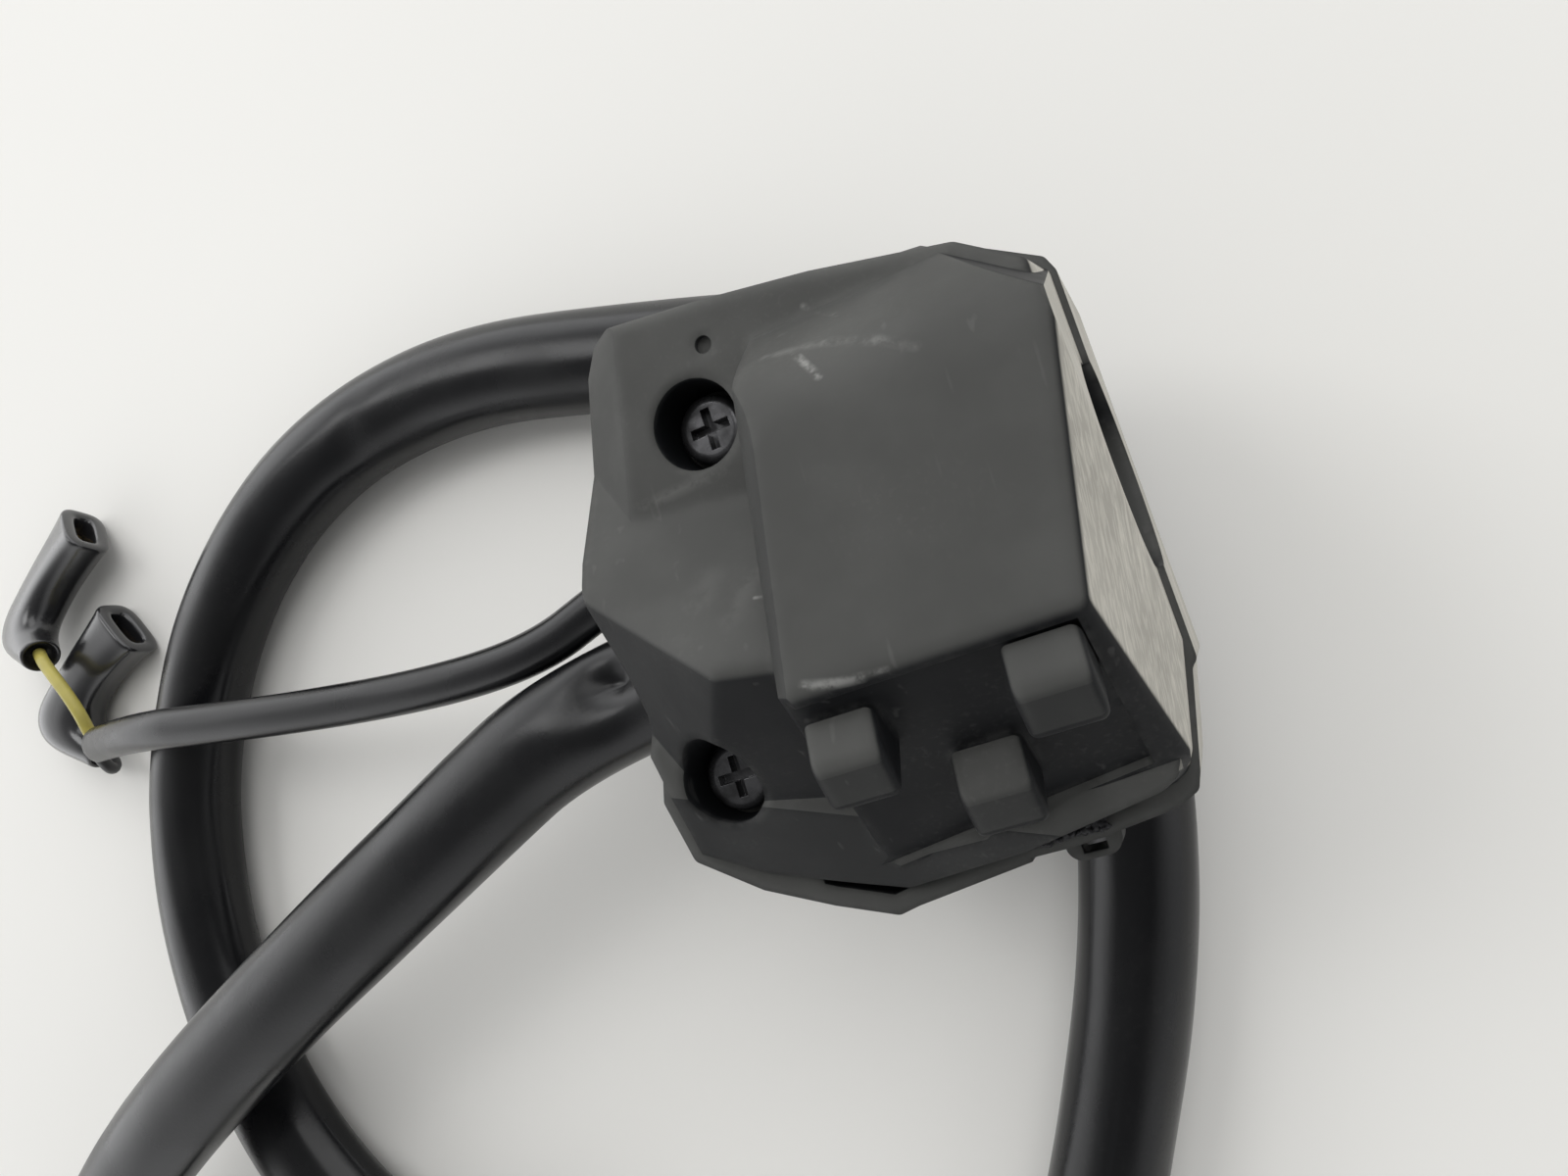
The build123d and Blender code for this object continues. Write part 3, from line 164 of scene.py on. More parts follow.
class Wiring:
    """Adds and joins the nodes of one tree."""

    def __init__(self, tree: NodeTree) -> None:
        """Keeps the tree that nodes are added to."""
        self.tree = tree

    def add(self, kind: str, **settings: object) -> Node:
        """Adds a node.

        Args:
            kind: the node's type name.
            settings: its properties.

        Returns:
            The new node.
        """
        node = self.tree.nodes.new(kind)
        for key, value in settings.items():
            setattr(node, key, value)
        return node

    def join(self, source: Socket, target: Socket) -> None:
        """Joins an output to an input."""
        self.tree.links.new(source, target)

    def maths(self, operation: str, *values: float | Socket, clamp: bool = False) -> Socket:
        """Adds a Math node.

        Args:
            operation: the Math node's operation.
            values: numbers or outputs for its inputs, in order.
            clamp: keeps the result between 0 and 1.

        Returns:
            Its output.
        """
        node = self.add("ShaderNodeMath", operation=operation, use_clamp=clamp)
        self.feed(node, values)
        return node.outputs[0]

    def vector(self, operation: str, *values: object) -> Node:
        """Adds a Vector Math node.

        Args:
            operation: the node's operation.
            values: vectors or outputs for its inputs, in order.

        Returns:
            The node.
        """
        node = self.add("ShaderNodeVectorMath", operation=operation)
        self.feed(node, values)
        return node

    def put(self, socket: Socket, value: object) -> None:
        """Joins an input to an output, or sets it to a plain value."""
        if isinstance(value, Socket):
            self.join(value, socket)
        else:
            socket.default_value = value

    def dot(self, first: object, second: object) -> Socket:
        """The dot product of two vectors."""
        return self.vector("DOT_PRODUCT", first, second).outputs["Value"]

    def coordinate(self, vector: Socket, axis: int) -> Socket:
        """A vector's X, Y or Z, by axis 0, 1 or 2."""
        split = self.add("ShaderNodeSeparateXYZ")
        self.join(vector, split.inputs[0])
        return split.outputs[axis]

    def normal(self) -> Socket:
        """The surface's normal."""
        return self.add("ShaderNodeNewGeometry").outputs["Normal"]

    def place(self) -> Socket:
        """The piece's own coordinates."""
        return self.add("ShaderNodeTexCoord").outputs["Object"]

    def feed(self, node: Node, values: Iterable[object]) -> None:
        """Joins or sets a node's inputs in order."""
        for socket, value in zip(node.inputs, values):
            self.put(socket, value)

    def mix(self, mask: Socket, low: object, high: object) -> Socket:
        """Mixes two colours.

        Args:
            mask: 0 shows low and 1 shows high.
            low: a colour or an output.
            high: a colour or an output.

        Returns:
            The mixed colour.
        """
        node = self.add("ShaderNodeMix", data_type="RGBA")
        self.join(mask, node.inputs["Factor"])
        for socket, value in ((node.inputs[6], low), (node.inputs[7], high)):
            self.put(socket, value if isinstance(value, Socket) else (*value, 1.0))
        return node.outputs[2]

    def tint(
        self, mask: Socket, amount: float, shade: object, colour: Colour, clamp: bool = False
    ) -> Socket:
        """Lays a colour over a shade, as far as a mask and an amount let it.

        Args:
            mask: where the colour shows.
            amount: how much of it shows there.
            shade: the colour so far.
            colour: the colour on top.
            clamp: keeps mask times amount between 0 and 1.

        Returns:
            The mixed colour.
        """
        return self.mix(self.maths("MULTIPLY", mask, amount, clamp=clamp), shade, colour)

    def span(
        self, value: Socket, low: float, high: float, out_low: float = 0.0, out_high: float = 1.0
    ) -> Socket:
        """Adds a clamped Map Range.

        Args:
            value: what is mapped.
            low: the value that gives out_low.
            high: the value that gives out_high.
            out_low: result at low.
            out_high: result at high.

        Returns:
            The mapped value.
        """
        node = self.add("ShaderNodeMapRange", interpolation_type="SMOOTHSTEP")
        self.join(value, node.inputs["Value"])
        limits = {"From Min": low, "From Max": high, "To Min": out_low, "To Max": out_high}
        for name, number in limits.items():
            node.inputs[name].default_value = number
        return node.outputs["Result"]

    def noise(
        self, coordinates: Socket, scale: object, detail: float = 4.0, roughness: float = 0.55
    ) -> Socket:
        """Adds a Noise Texture.

        Args:
            coordinates: its vector.
            scale: a number or an output.
            detail: octaves.
            roughness: weight of the finer octaves.

        Returns:
            Its value.
        """
        node = self.add("ShaderNodeTexNoise")
        self.join(coordinates, node.inputs["Vector"])
        self.put(node.inputs["Scale"], scale)
        node.inputs["Detail"].default_value = detail
        node.inputs["Roughness"].default_value = roughness
        return node.outputs[0]


Group = tuple[NodeTree, Wiring, Node, Node]


def start_group(
    name: str,
    inputs: Sequence[tuple[str, str, object]],
    outputs: Sequence[tuple[str, str]],
    kind: str = "ShaderNodeTree",
) -> Group:
    """Starts a node group.

    Args:
        name: the group's name.
        inputs: name, socket type and default of each input.
        outputs: name and socket type of each output.
        kind: the group's tree type.

    Returns:
        The group, its wiring, its input node and its output node.
    """
    tree = bpy.data.node_groups.new(name, kind)
    for label, socket_type, value in inputs:
        socket = tree.interface.new_socket(name=label, in_out="INPUT", socket_type=socket_type)
        if value is not None:
            socket.default_value = value
    for label, socket_type in outputs:
        tree.interface.new_socket(name=label, in_out="OUTPUT", socket_type=socket_type)
    wiring = Wiring(tree)
    return tree, wiring, wiring.add("NodeGroupInput"), wiring.add("NodeGroupOutput")


def scaled(colour: Colour, factor: float) -> Colour:
    """A colour made lighter or darker, up to full."""
    return tuple(min(1.0, factor * c) for c in colour)


@dataclass
class SurfaceEffects:
    """The shader node groups that several finishes share, each built once."""

    edge_wear: NodeTree = field(init=False)
    grain: NodeTree = field(init=False)
    hairlines: NodeTree = field(init=False)
    streak: NodeTree = field(init=False)
    dust: NodeTree = field(init=False)

    def __post_init__(self) -> None:
        """Builds the groups."""
        self.edge_wear = self.make_edge_wear()
        self.grain = self.make_grain()
        self.hairlines = self.make_hairlines()
        self.streak = self.make_streak()
        self.dust = self.make_dust()

    def make_edge_wear(self) -> NodeTree:
        """Softened normals at edges, and a broken mask of the edges themselves."""
        tree, w, source, sink = start_group(
            "edge wear",
            [("Radius", FLOAT, 0.0006), ("Break Scale", FLOAT, 400.0)],
            [("Mask", FLOAT), ("Normal", VECTOR)],
        )
        bevel = w.add("ShaderNodeBevel", samples=6)
        w.join(source.outputs["Radius"], bevel.inputs["Radius"])
        edge = w.span(w.dot(bevel.outputs[0], w.normal()), *EDGE_TURN)
        broken = w.span(w.noise(w.place(), source.outputs["Break Scale"], 5.0, 0.65), *EDGE_BREAK)
        w.join(w.maths("MULTIPLY", edge, broken, clamp=True), sink.inputs["Mask"])
        w.join(bevel.outputs[0], sink.inputs["Normal"])
        return tree

    def make_grain(self) -> NodeTree:
        """A moulded or skinned surface's fine height, and slow mottling for its gloss."""
        tree, w, source, sink = start_group(
            "grain",
            [("Fine Scale", FLOAT, 2500.0), ("Slow Scale", FLOAT, 90.0)],
            [("Height", FLOAT), ("Mottle", FLOAT)],
        )
        place = w.place()
        mottle = w.span(w.noise(place, source.outputs["Slow Scale"], 5.0), *MOTTLE)
        w.join(w.noise(place, source.outputs["Fine Scale"], 3.0), sink.inputs["Height"])
        w.join(mottle, sink.inputs["Mottle"])
        return tree

    def make_hairlines(self) -> NodeTree:
        """Fine parallel scratches along the pattern's own Y."""
        tree, w, source, sink = start_group(
            "hairlines",
            [
                ("Vector", VECTOR, None),
                ("Scale", FLOAT, 900.0),
                ("Stretch", FLOAT, 0.03),
                ("Amount", FLOAT, 0.5),
            ],
            [("Mask", FLOAT)],
        )
        squeeze = w.add("ShaderNodeCombineXYZ")
        squeeze.inputs[0].default_value = 1.0
        squeeze.inputs[2].default_value = 1.0
        w.join(source.outputs["Stretch"], squeeze.inputs[1])
        place = w.vector("MULTIPLY", source.outputs["Vector"], squeeze.outputs[0]).outputs[0]
        lines = w.noise(place, source.outputs["Scale"], 2.0, 0.4)
        low = w.maths("SUBTRACT", 0.8, w.maths("MULTIPLY", source.outputs["Amount"], 0.3))
        mask = w.maths("DIVIDE", w.maths("SUBTRACT", lines, low), 0.08, clamp=True)
        w.join(mask, sink.inputs["Mask"])
        return tree

    def make_streak(self) -> NodeTree:
        """One soft-edged mark along a straight line in the piece's own space."""
        tree, w, source, sink = start_group(
            "streak",
            [
                ("From", VECTOR, None),
                ("To", VECTOR, None),
                ("Width", FLOAT, 0.001),
                ("Break Scale", FLOAT, 300.0),
            ],
            [("Mask", FLOAT)],
        )
        place = w.place()
        start, end = source.outputs["From"], source.outputs["To"]
        reach = w.vector("SUBTRACT", end, start).outputs[0]
        here = w.vector("SUBTRACT", place, start).outputs[0]
        along = w.maths("DIVIDE", w.dot(here, reach), w.dot(reach, reach), clamp=True)
        step = w.vector("SCALE", reach)
        w.join(along, step.inputs["Scale"])
        offset = w.vector("SUBTRACT", here, step.outputs[0]).outputs[0]
        away = w.vector("LENGTH", offset).outputs["Value"]
        near = w.maths("SUBTRACT", 1.0, w.maths("DIVIDE", away, source.outputs["Width"]), clamp=True)
        broken = w.span(w.noise(place, source.outputs["Break Scale"], 4.0, 0.7), *STREAK_BREAK)
        w.join(w.maths("MULTIPLY", near, broken, clamp=True), sink.inputs["Mask"])
        return tree

    def make_dust(self) -> NodeTree:
        """Patchy dust on faces that look up."""
        tree, w, source, sink = start_group(
            "dust",
            [("Patch Scale", FLOAT, 60.0), ("Speck Scale", FLOAT, 1500.0), ("Amount", FLOAT, 0.3)],
            [("Mask", FLOAT)],
        )
        place = w.place()
        upward = w.span(w.coordinate(w.normal(), 2), *DUST_SLOPE)
        patches = w.span(w.noise(place, source.outputs["Patch Scale"], 4.0), *DUST_PATCHES)
        specks = w.span(w.noise(place, source.outputs["Speck Scale"], 2.0), *DUST_SPECKS)
        both = w.maths("MULTIPLY", patches, w.maths("ADD", specks, 0.25))
        lying = w.maths("MULTIPLY", upward, both)
        w.join(w.maths("MULTIPLY", lying, source.outputs["Amount"], clamp=True), sink.inputs["Mask"])
        return tree


@dataclass
class Paint:
    """One material being put together."""

    name: str
    roughness: float
    metallic: float = 0.0
    specular: float = 0.5
    coat: float = 0.0
    coat_roughness: float = 0.1
    material: Material = field(init=False)
    wiring: Wiring = field(init=False)
    shader: Node = field(init=False)
    place: Socket = field(init=False)

    def __post_init__(self) -> None:
        """Makes the material with its plain shader settings."""
        self.material = bpy.data.materials.new(self.name)
        self.material.use_nodes = True
        tree = self.material.node_tree
        tree.nodes.clear()
        self.wiring = Wiring(tree)
        self.shader = self.wiring.add("ShaderNodeBsdfPrincipled")
        for label, value in (
            ("Roughness", self.roughness),
            ("Metallic", self.metallic),
            ("Specular IOR Level", self.specular),
            ("Coat Weight", self.coat),
            ("Coat Roughness", self.coat_roughness),
        ):
            self.shader.inputs[label].default_value = value
        output = self.wiring.add("ShaderNodeOutputMaterial")
        self.wiring.join(self.shader.outputs[0], output.inputs[0])
        self.place = self.wiring.place()

    def group(self, tree: NodeTree, **values: object) -> Node:
        """Places a shared effect.

        Args:
            tree: the node group.
            values: its inputs, with underscores for spaces; a value or an output.

        Returns:
            The group's node.
        """
        node = self.wiring.add("ShaderNodeGroup")
        node.node_tree = tree
        for key, value in values.items():
            self.wiring.put(node.inputs[key.replace("_", " ")], value)
        return node

    def lines(
        self, effects: SurfaceEffects, sheet: Socket, scale: float, stretch: float, amount: float
    ) -> Socket:
        """Places the shared hairlines.

        Args:
            effects: the shared groups.
            sheet: the coordinates they are drawn in.
            scale: how fine they are.
            stretch: how short they are.
            amount: how many show.

        Returns:
            Their mask.
        """
        node = self.group(
            effects.hairlines, Vector=sheet, Scale=scale, Stretch=stretch, Amount=amount
        )
        return node.outputs[0]

    def colour(self, source: Socket) -> None:
        """Feeds the base colour."""
        self.wiring.join(source, self.shader.inputs["Base Color"])

    def lay(
        self,
        shade: Socket,
        grain: Node,
        gloss: tuple[float, float],
        bump: tuple[float, float],
        normal: Socket | None = None,
    ) -> Material:
        """Feeds the colour, the mottled roughness and the fine bump.

        Args:
            shade: the finished colour.
            grain: the material's grain group.
            gloss: the roughness where the mottling is 0 and 1.
            bump: the bump's strength and its height in metres.
            normal: a normal to start from.

        Returns:
            The finished material.
        """
        w = self.wiring
        self.colour(shade)
        w.join(w.span(grain.outputs["Mottle"], 0.0, 1.0, *gloss), self.shader.inputs["Roughness"])
        node = w.add("ShaderNodeBump")
        node.inputs["Strength"].default_value, node.inputs["Distance"].default_value = bump
        w.join(grain.outputs["Height"], node.inputs["Height"])
        if normal is not None:
            w.join(normal, node.inputs["Normal"])
        w.join(node.outputs[0], self.shader.inputs["Normal"])
        return self.material


@dataclass(frozen=True)
class Mark:
    """A pale rub or scratch on the casing, or a painted sheen on a polished patch, between two points.
    """

    start: Point
    end: Point
    width: float
    strength: float


@dataclass(frozen=True)
class MouldedPlastic:
    """Matte moulded plastic with a fine skin, edge wear, rubs and dust, painted shade on faces turned
    away from the light, and painted sheen on rubbed places.
    """

    name: str
    base: Colour
    # The near-black colour painted as shade on faces turned away from the light
    painted_shade: Colour
    worn_and_sheen: Colour
    roughness: float
    specular: float = 0.2
    edge_radius: float = 0.0005
    wear: float = 0.5
    dust: float = 0.25
    marks: tuple[Mark, ...] = ()
    end_scuffs_and_sheen: bool = False

    def material(self, effects: SurfaceEffects) -> Material:
        """Builds the material from the shared effects."""
        paint = Paint(self.name, self.roughness, specular=self.specular)
        w = paint.wiring
        grain = paint.group(effects.grain, Fine_Scale=2600.0, Slow_Scale=70.0)
        edges = paint.group(effects.edge_wear, Radius=self.edge_radius, Break_Scale=260.0)
        dust = paint.group(effects.dust, Patch_Scale=55.0, Amount=self.dust)
        # Painted shade: faces that look up and towards +Y keep the base colour; faces turned away from
        # the light, in pockets, bores and under the bosses, take the painted shade colour
        lit_face = w.span(w.dot(w.normal(), LIT_FACE_TOWARDS), *LIT_FACE_SPAN)
        shade = w.mix(grain.outputs["Mottle"], scaled(self.base, 0.90), scaled(self.base, 1.08))
        shade = w.mix(lit_face, self.painted_shade, shade)
        hairs = paint.lines(effects, paint.place, 700.0, 0.06, 0.35)
        shade = w.tint(hairs, 0.10, shade, self.worn_and_sheen)
        shade = w.tint(edges.outputs["Mask"], self.wear, shade, self.worn_and_sheen)
        # Rubs and scratches; two broad marks among them are a painted sheen
        for mark in self.marks:
            streak = paint.group(effects.streak, From=mark.start, To=mark.end, Width=mark.width)
            shade = w.tint(streak.outputs[0], mark.strength, shade, self.worn_and_sheen, clamp=True)
        if self.end_scuffs_and_sheen:
            shade = self.scuff_and_sheen_end(paint, effects, shade)
        shade = w.mix(dust.outputs[0], shade, PLASTIC_DUST)
        gloss = (self.roughness + 0.05, self.roughness - 0.04)
        return paint.lay(shade, grain, gloss, (0.35, 0.00003), edges.outputs["Normal"])

    def scuff_and_sheen_end(self, paint: Paint, effects: SurfaceEffects, shade: Socket) -> Socket:
        """Rubs the end face that meets the grip with pale lines, and paints the whole face pale as a
        painted sheen.

        Args:
            paint: the material being made.
            effects: the shared groups.
            shade: the colour so far.

        Returns:
            The colour with the scuffs and the painted sheen.
        """
        w = paint.wiring
        squarely = w.span(w.coordinate(w.normal(), 0), *SCUFF_AND_SHEEN_FACING)
        at_end = w.span(w.coordinate(paint.place, 0), *SCUFF_AND_SHEEN_START)
        facing = w.maths("MULTIPLY", squarely, at_end)
        scratches = []
        for scale, stretch, amount, weight in SCUFF_LINES:
            hairs = paint.lines(effects, paint.place, scale, stretch, amount)
            scratches.append(w.maths("MULTIPLY", hairs, weight))
        lines = w.maths("ADD", *scratches)
        # Painted sheen: pale patches, 62 to 76 per cent strong, over the whole end face
        patches = w.span(w.noise(paint.place, 70.0, 4.0, 0.6), 0.3, 0.7, 0.62, 0.76)
        mask = w.maths("MULTIPLY", facing, w.maths("ADD", lines, patches), clamp=True)
        return w.mix(mask, shade, SCUFF_AND_SHEEN_PALE)


@dataclass(frozen=True)
class SoftVinyl:
    """Soft sleeve or boot vinyl: dark, satin to glossy, with faint lengthwise streaks and dust."""

    name: str
    base: Colour
    pale: Colour
    roughness: float
    specular: float = 0.30
    coat: float = 0.0
    dust: float = 0.12
    bloom: float = 0.3
    lengthwise: bool = True

    def material(self, effects: SurfaceEffects) -> Material:
        """Builds the material; streaks follow the piece's own UV map."""
        paint = Paint(
            self.name, self.roughness, specular=self.specular, coat=self.coat, coat_roughness=0.22
        )
        w = paint.wiring
        grain = paint.group(effects.grain, Fine_Scale=1700.0, Slow_Scale=45.0)
        dust = paint.group(effects.dust, Patch_Scale=35.0, Speck_Scale=1100.0, Amount=self.dust)
        shade = w.mix(grain.outputs["Mottle"], self.base, scaled(self.base, 1.35))
        if self.lengthwise:
            sheet = w.add("ShaderNodeUVMap", uv_map="sleeve").outputs[0]
            streaks = paint.lines(effects, sheet, 26.0, 0.035, 0.55)
            shade = w.tint(streaks, self.bloom * 0.25, shade, self.pale)
        patches = w.span(w.noise(paint.place, 22.0, 6.0, 0.6), 0.5, 0.78)
        shade = w.tint(patches, self.bloom * 0.2, shade, self.pale)
        shade = w.mix(dust.outputs[0], shade, VINYL_DUST)
        return paint.lay(shade, grain, (self.roughness + 0.07, self.roughness - 0.05), (0.3, 0.00004))


@dataclass(frozen=True)
class Metal:
    """Plated or bare metal with a fine brushed and tarnished surface."""

    name: str
    base: Colour
    dull: Colour
    roughness: float
    metallic: float = 1.0

    def material(self, effects: SurfaceEffects) -> Material:
        """Builds the material from the shared effects."""
        paint = Paint(self.name, self.roughness, metallic=self.metallic)
        w = paint.wiring
        grain = paint.group(effects.grain, Fine_Scale=3000.0, Slow_Scale=320.0)
        edges = paint.group(effects.edge_wear, Radius=0.00015, Break_Scale=900.0)
        shade = w.mix(grain.outputs["Mottle"], self.dull, self.base)
        shade = w.tint(edges.outputs["Mask"], 0.5, shade, scaled(self.base, 1.5))
        gloss = (self.roughness + 0.12, self.roughness - 0.05)
        return paint.lay(shade, grain, gloss, (0.25, 0.00002), edges.outputs["Normal"])


@dataclass(frozen=True)
class CleanPlastic:
    """Smooth insulation, nylon or board with faint mottling and grime."""

    name: str
    base: Colour
    grime: Colour
    roughness: float
    grime_amount: float = 0.3
    subsurface: float = 0.0

    def material(self, effects: SurfaceEffects) -> Material:
        """Builds the material from the shared effects."""
        paint = Paint(self.name, self.roughness)
        paint.shader.inputs["Subsurface Weight"].default_value = self.subsurface
        paint.shader.inputs["Subsurface Scale"].default_value = 0.0008
        w = paint.wiring
        grain = paint.group(effects.grain, Fine_Scale=2200.0, Slow_Scale=240.0)
        edges = paint.group(effects.edge_wear, Radius=0.0002, Break_Scale=700.0)
        shade = w.tint(grain.outputs["Mottle"], self.grime_amount, self.base, self.grime)
        gloss = (self.roughness - 0.05, self.roughness + 0.08)
        return paint.lay(shade, grain, gloss, (0.2, 0.00003), edges.outputs["Normal"])


# --- Mesh helpers -------------------------------------------------------------------------------


def tube_faces(count: int, around: int, looped: bool = False) -> list[tuple[int, ...]]:
    """The faces of a tube of rings.

    Args:
        count: how many rings.
        around: points in each ring.
        looped: joins the last ring to the first, where a tube has caps.

    Returns:
        Corner numbers of each face.
    """
    faces = []
    for i in range(count if looped else count - 1):
        here, there = i * around, (i + 1) % count * around
        for k in range(around):
            after = (k + 1) % around
            faces.append((here + k, here + after, there + after, there + k))
    if not looped:
        faces += [tuple(range(around)), tuple(range((count - 1) * around, count * around))]
    return faces


def link(obj: Object) -> Object:
    """Puts an object into the scene."""
    bpy.context.scene.collection.objects.link(obj)
    return obj


def angles(count: int) -> list[float]:
    """Evenly spaced angles of a whole turn."""
    return [2 * math.pi * k / count for k in range(count)]


def mesh_object(
    name: str,
    vertices: Sequence[Sequence[float]],
    faces: Sequence[Sequence[int]],
    material: Material,
) -> Object:
    """Makes a smooth mesh with its faces turned outwards.

    Args:
        name: the piece's name.
        vertices: positions in metres.
        faces: corner numbers.
        material: its finish.

    Returns:
        The new object, at the origin.
    """
    mesh = bpy.data.meshes.new(name)
    mesh.from_pydata([tuple(v) for v in vertices], [], [tuple(f) for f in faces])
    work = bmesh.new()
    work.from_mesh(mesh)
    bmesh.ops.recalc_face_normals(work, faces=work.faces)
    work.to_mesh(mesh)
    work.free()
    mesh.shade_smooth()
    mesh.materials.append(material)
    return link(bpy.data.objects.new(name, mesh))


def add_spline(data: bpy.types.Curve, points: Sequence[Point]) -> None:
    """Adds one smooth line by its control points in metres."""
    spline = data.splines.new("NURBS")
    spline.points.add(len(points) - 1)
    for control, point in zip(spline.points, points):
        control.co = (*point, 1.0)
    spline.order_u = 3
    spline.use_endpoint_u = True


def nurbs_curve(name: str, points: Sequence[Point], resolution: int) -> Object:
    """Makes a bare curve by a cord's control points.

    Args:
        name: the curve's name.
        points: control points in metres.
        resolution: steps in each span.

    Returns:
        The curve's object.
    """
    data = bpy.data.curves.new(name, "CURVE")
    data.dimensions = "3D"
    data.resolution_u = resolution
    add_spline(data, points)
    return link(bpy.data.objects.new(name, data))


def read_mesh(obj: Object) -> Mesh:
    """The evaluated object as a plain mesh."""
    bpy.context.view_layer.update()
    return bpy.data.meshes.new_from_object(obj.evaluated_get(bpy.context.evaluated_depsgraph_get()))


def curve_line(name: str, points: Sequence[Point]) -> list[Vector]:
    """The points along a cord's smooth line, read from its bare curve."""
    curve = nurbs_curve(name, points, CORD_STEPS)
    mesh = read_mesh(curve)
    line = [v.co.copy() for v in mesh.vertices]
    bpy.data.meshes.remove(mesh)
    bpy.data.objects.remove(curve)
    return [p for i, p in enumerate(line) if i == 0 or (p - line[i - 1]).length > SAME_POINT]


def distances(line: Sequence[Vector]) -> list[float]:
    """How far along a line each of its points lies."""
    total = [0.0]
    for before, here in zip(line, line[1:]):
        total.append(total[-1] + (here - before).length)
    return total


def frames(line: Sequence[Vector]) -> list[tuple[Vector, Vector, Vector]]:
    """Tangent, side and up at each point of a line that lies fairly level."""
    result = []
    for i in range(len(line)):
        tangent = (line[min(i + 1, len(line) - 1)] - line[max(i - 1, 0)]).normalized()
        side = tangent.cross(Vector((0, 0, 1))).normalized()
        result.append((tangent, side, side.cross(tangent).normalized()))
    return result


# --- Geometry Nodes trees -----------------------------------------------------------------------


class TreeInput(Enum):
    """Names of the sizes that the repeating trees take."""

    RADIUS = "Radius"
    WIRE = "Wire Radius"
    TURNS = "Turns"
    HEIGHT = "Height"
    FACETS = "Facets"
    MATERIAL = "Material"
    SEED = "Seed"
    COUNT = "Count"
    SPREAD = "Spread"
    SIZE = "Size"


def geometry_tree(
    name: str, sizes: Sequence[tuple[TreeInput, str, object]], takes_geometry: bool = False
) -> Group:
    """Starts a Geometry Nodes tree with named sizes and a material.

    Args:
        name: the tree's name.
        sizes: name, socket type and default of each size.
        takes_geometry: whether it reads the host's own geometry.

    Returns:
        The tree, its wiring, its input node and its output node.
    """
    inputs = [("Geometry", GEOMETRY, None)] if takes_geometry else []
    inputs += [(size.value, kind, value) for size, kind, value in sizes]
    inputs.append((TreeInput.MATERIAL.value, MATERIAL, None))
    return start_group(name, inputs, [("Geometry", GEOMETRY)], "GeometryNodeTree")


def take_size(w: Wiring, source: Node, size: TreeInput, node: Node, *labels: str) -> None:
    """Joins one of the tree's sizes to inputs of a node."""
    for label in labels:
        w.join(source.outputs[size.value], node.inputs[label])


def random_vector(w: Wiring, low: Point, high: object) -> Node:
    """A Random Value node for vectors from low to high, where high may be an output."""
    node = w.add("FunctionNodeRandomValue", data_type="FLOAT_VECTOR")
    w.feed(node, (low, high))
    return node


def round_skin(w: Wiring, source: Node, curve: Socket, radius: TreeInput) -> Socket:
    """A round tube with closed ends along a curve.

    Args:
        w: the tree's wiring.
        source: the tree's input node.
        curve: what it follows.
        radius: the size that gives its radius.

    Returns:
        The tube's mesh.
    """
    ring = w.add("GeometryNodeCurvePrimitiveCircle")
    take_size(w, source, TreeInput.FACETS, ring, "Resolution")
    take_size(w, source, radius, ring, "Radius")
    skin = w.add("GeometryNodeCurveToMesh")
    w.join(curve, skin.inputs["Curve"])
    w.join(ring.outputs["Curve"], skin.inputs["Profile Curve"])
    skin.inputs["Fill Caps"].default_value = True
    return skin.outputs[0]


def end_tree(w: Wiring, source: Node, sink: Node, geometry: Socket) -> None:
    """Ends a tree: realised, smooth and with its material."""
    real = w.add("GeometryNodeRealizeInstances")
    w.join(geometry, real.inputs[0])
    smooth = w.add("GeometryNodeSetShadeSmooth")
    w.join(real.outputs[0], smooth.inputs[0])
    dress = w.add("GeometryNodeSetMaterial")
    w.join(smooth.outputs[0], dress.inputs["Geometry"])
    w.join(source.outputs[TreeInput.MATERIAL.value], dress.inputs["Material"])
    w.join(dress.outputs[0], sink.inputs[0])


def make_wire_tree() -> NodeTree:
    """A round wire with closed ends along the host's curves."""
    tree, w, source, sink = geometry_tree(
        "round wire",
        [(TreeInput.RADIUS, FLOAT, 0.001), (TreeInput.FACETS, INTEGER, 14)],
        takes_geometry=True,
    )
    end_tree(w, source, sink, round_skin(w, source, source.outputs["Geometry"], TreeInput.RADIUS))
    return tree


def make_winding_tree() -> NodeTree:
    """A coil of round wire standing on Z."""
    tree, w, source, sink = geometry_tree(
        "winding",
        [
            (TreeInput.RADIUS, FLOAT, 0.003),
            (TreeInput.WIRE, FLOAT, 0.0003),
            (TreeInput.TURNS, FLOAT, 4.0),
            (TreeInput.HEIGHT, FLOAT, 0.005),
            (TreeInput.FACETS, INTEGER, 10),
        ],
    )
    spiral = w.add("GeometryNodeCurveSpiral")
    spiral.inputs["Resolution"].default_value = SPIRAL_STEPS
    take_size(w, source, TreeInput.TURNS, spiral, "Rotations")
    take_size(w, source, TreeInput.RADIUS, spiral, "Start Radius", "End Radius")
    take_size(w, source, TreeInput.HEIGHT, spiral, "Height")
    end_tree(w, source, sink, round_skin(w, source, spiral.outputs["Curve"], TreeInput.WIRE))
    return tree


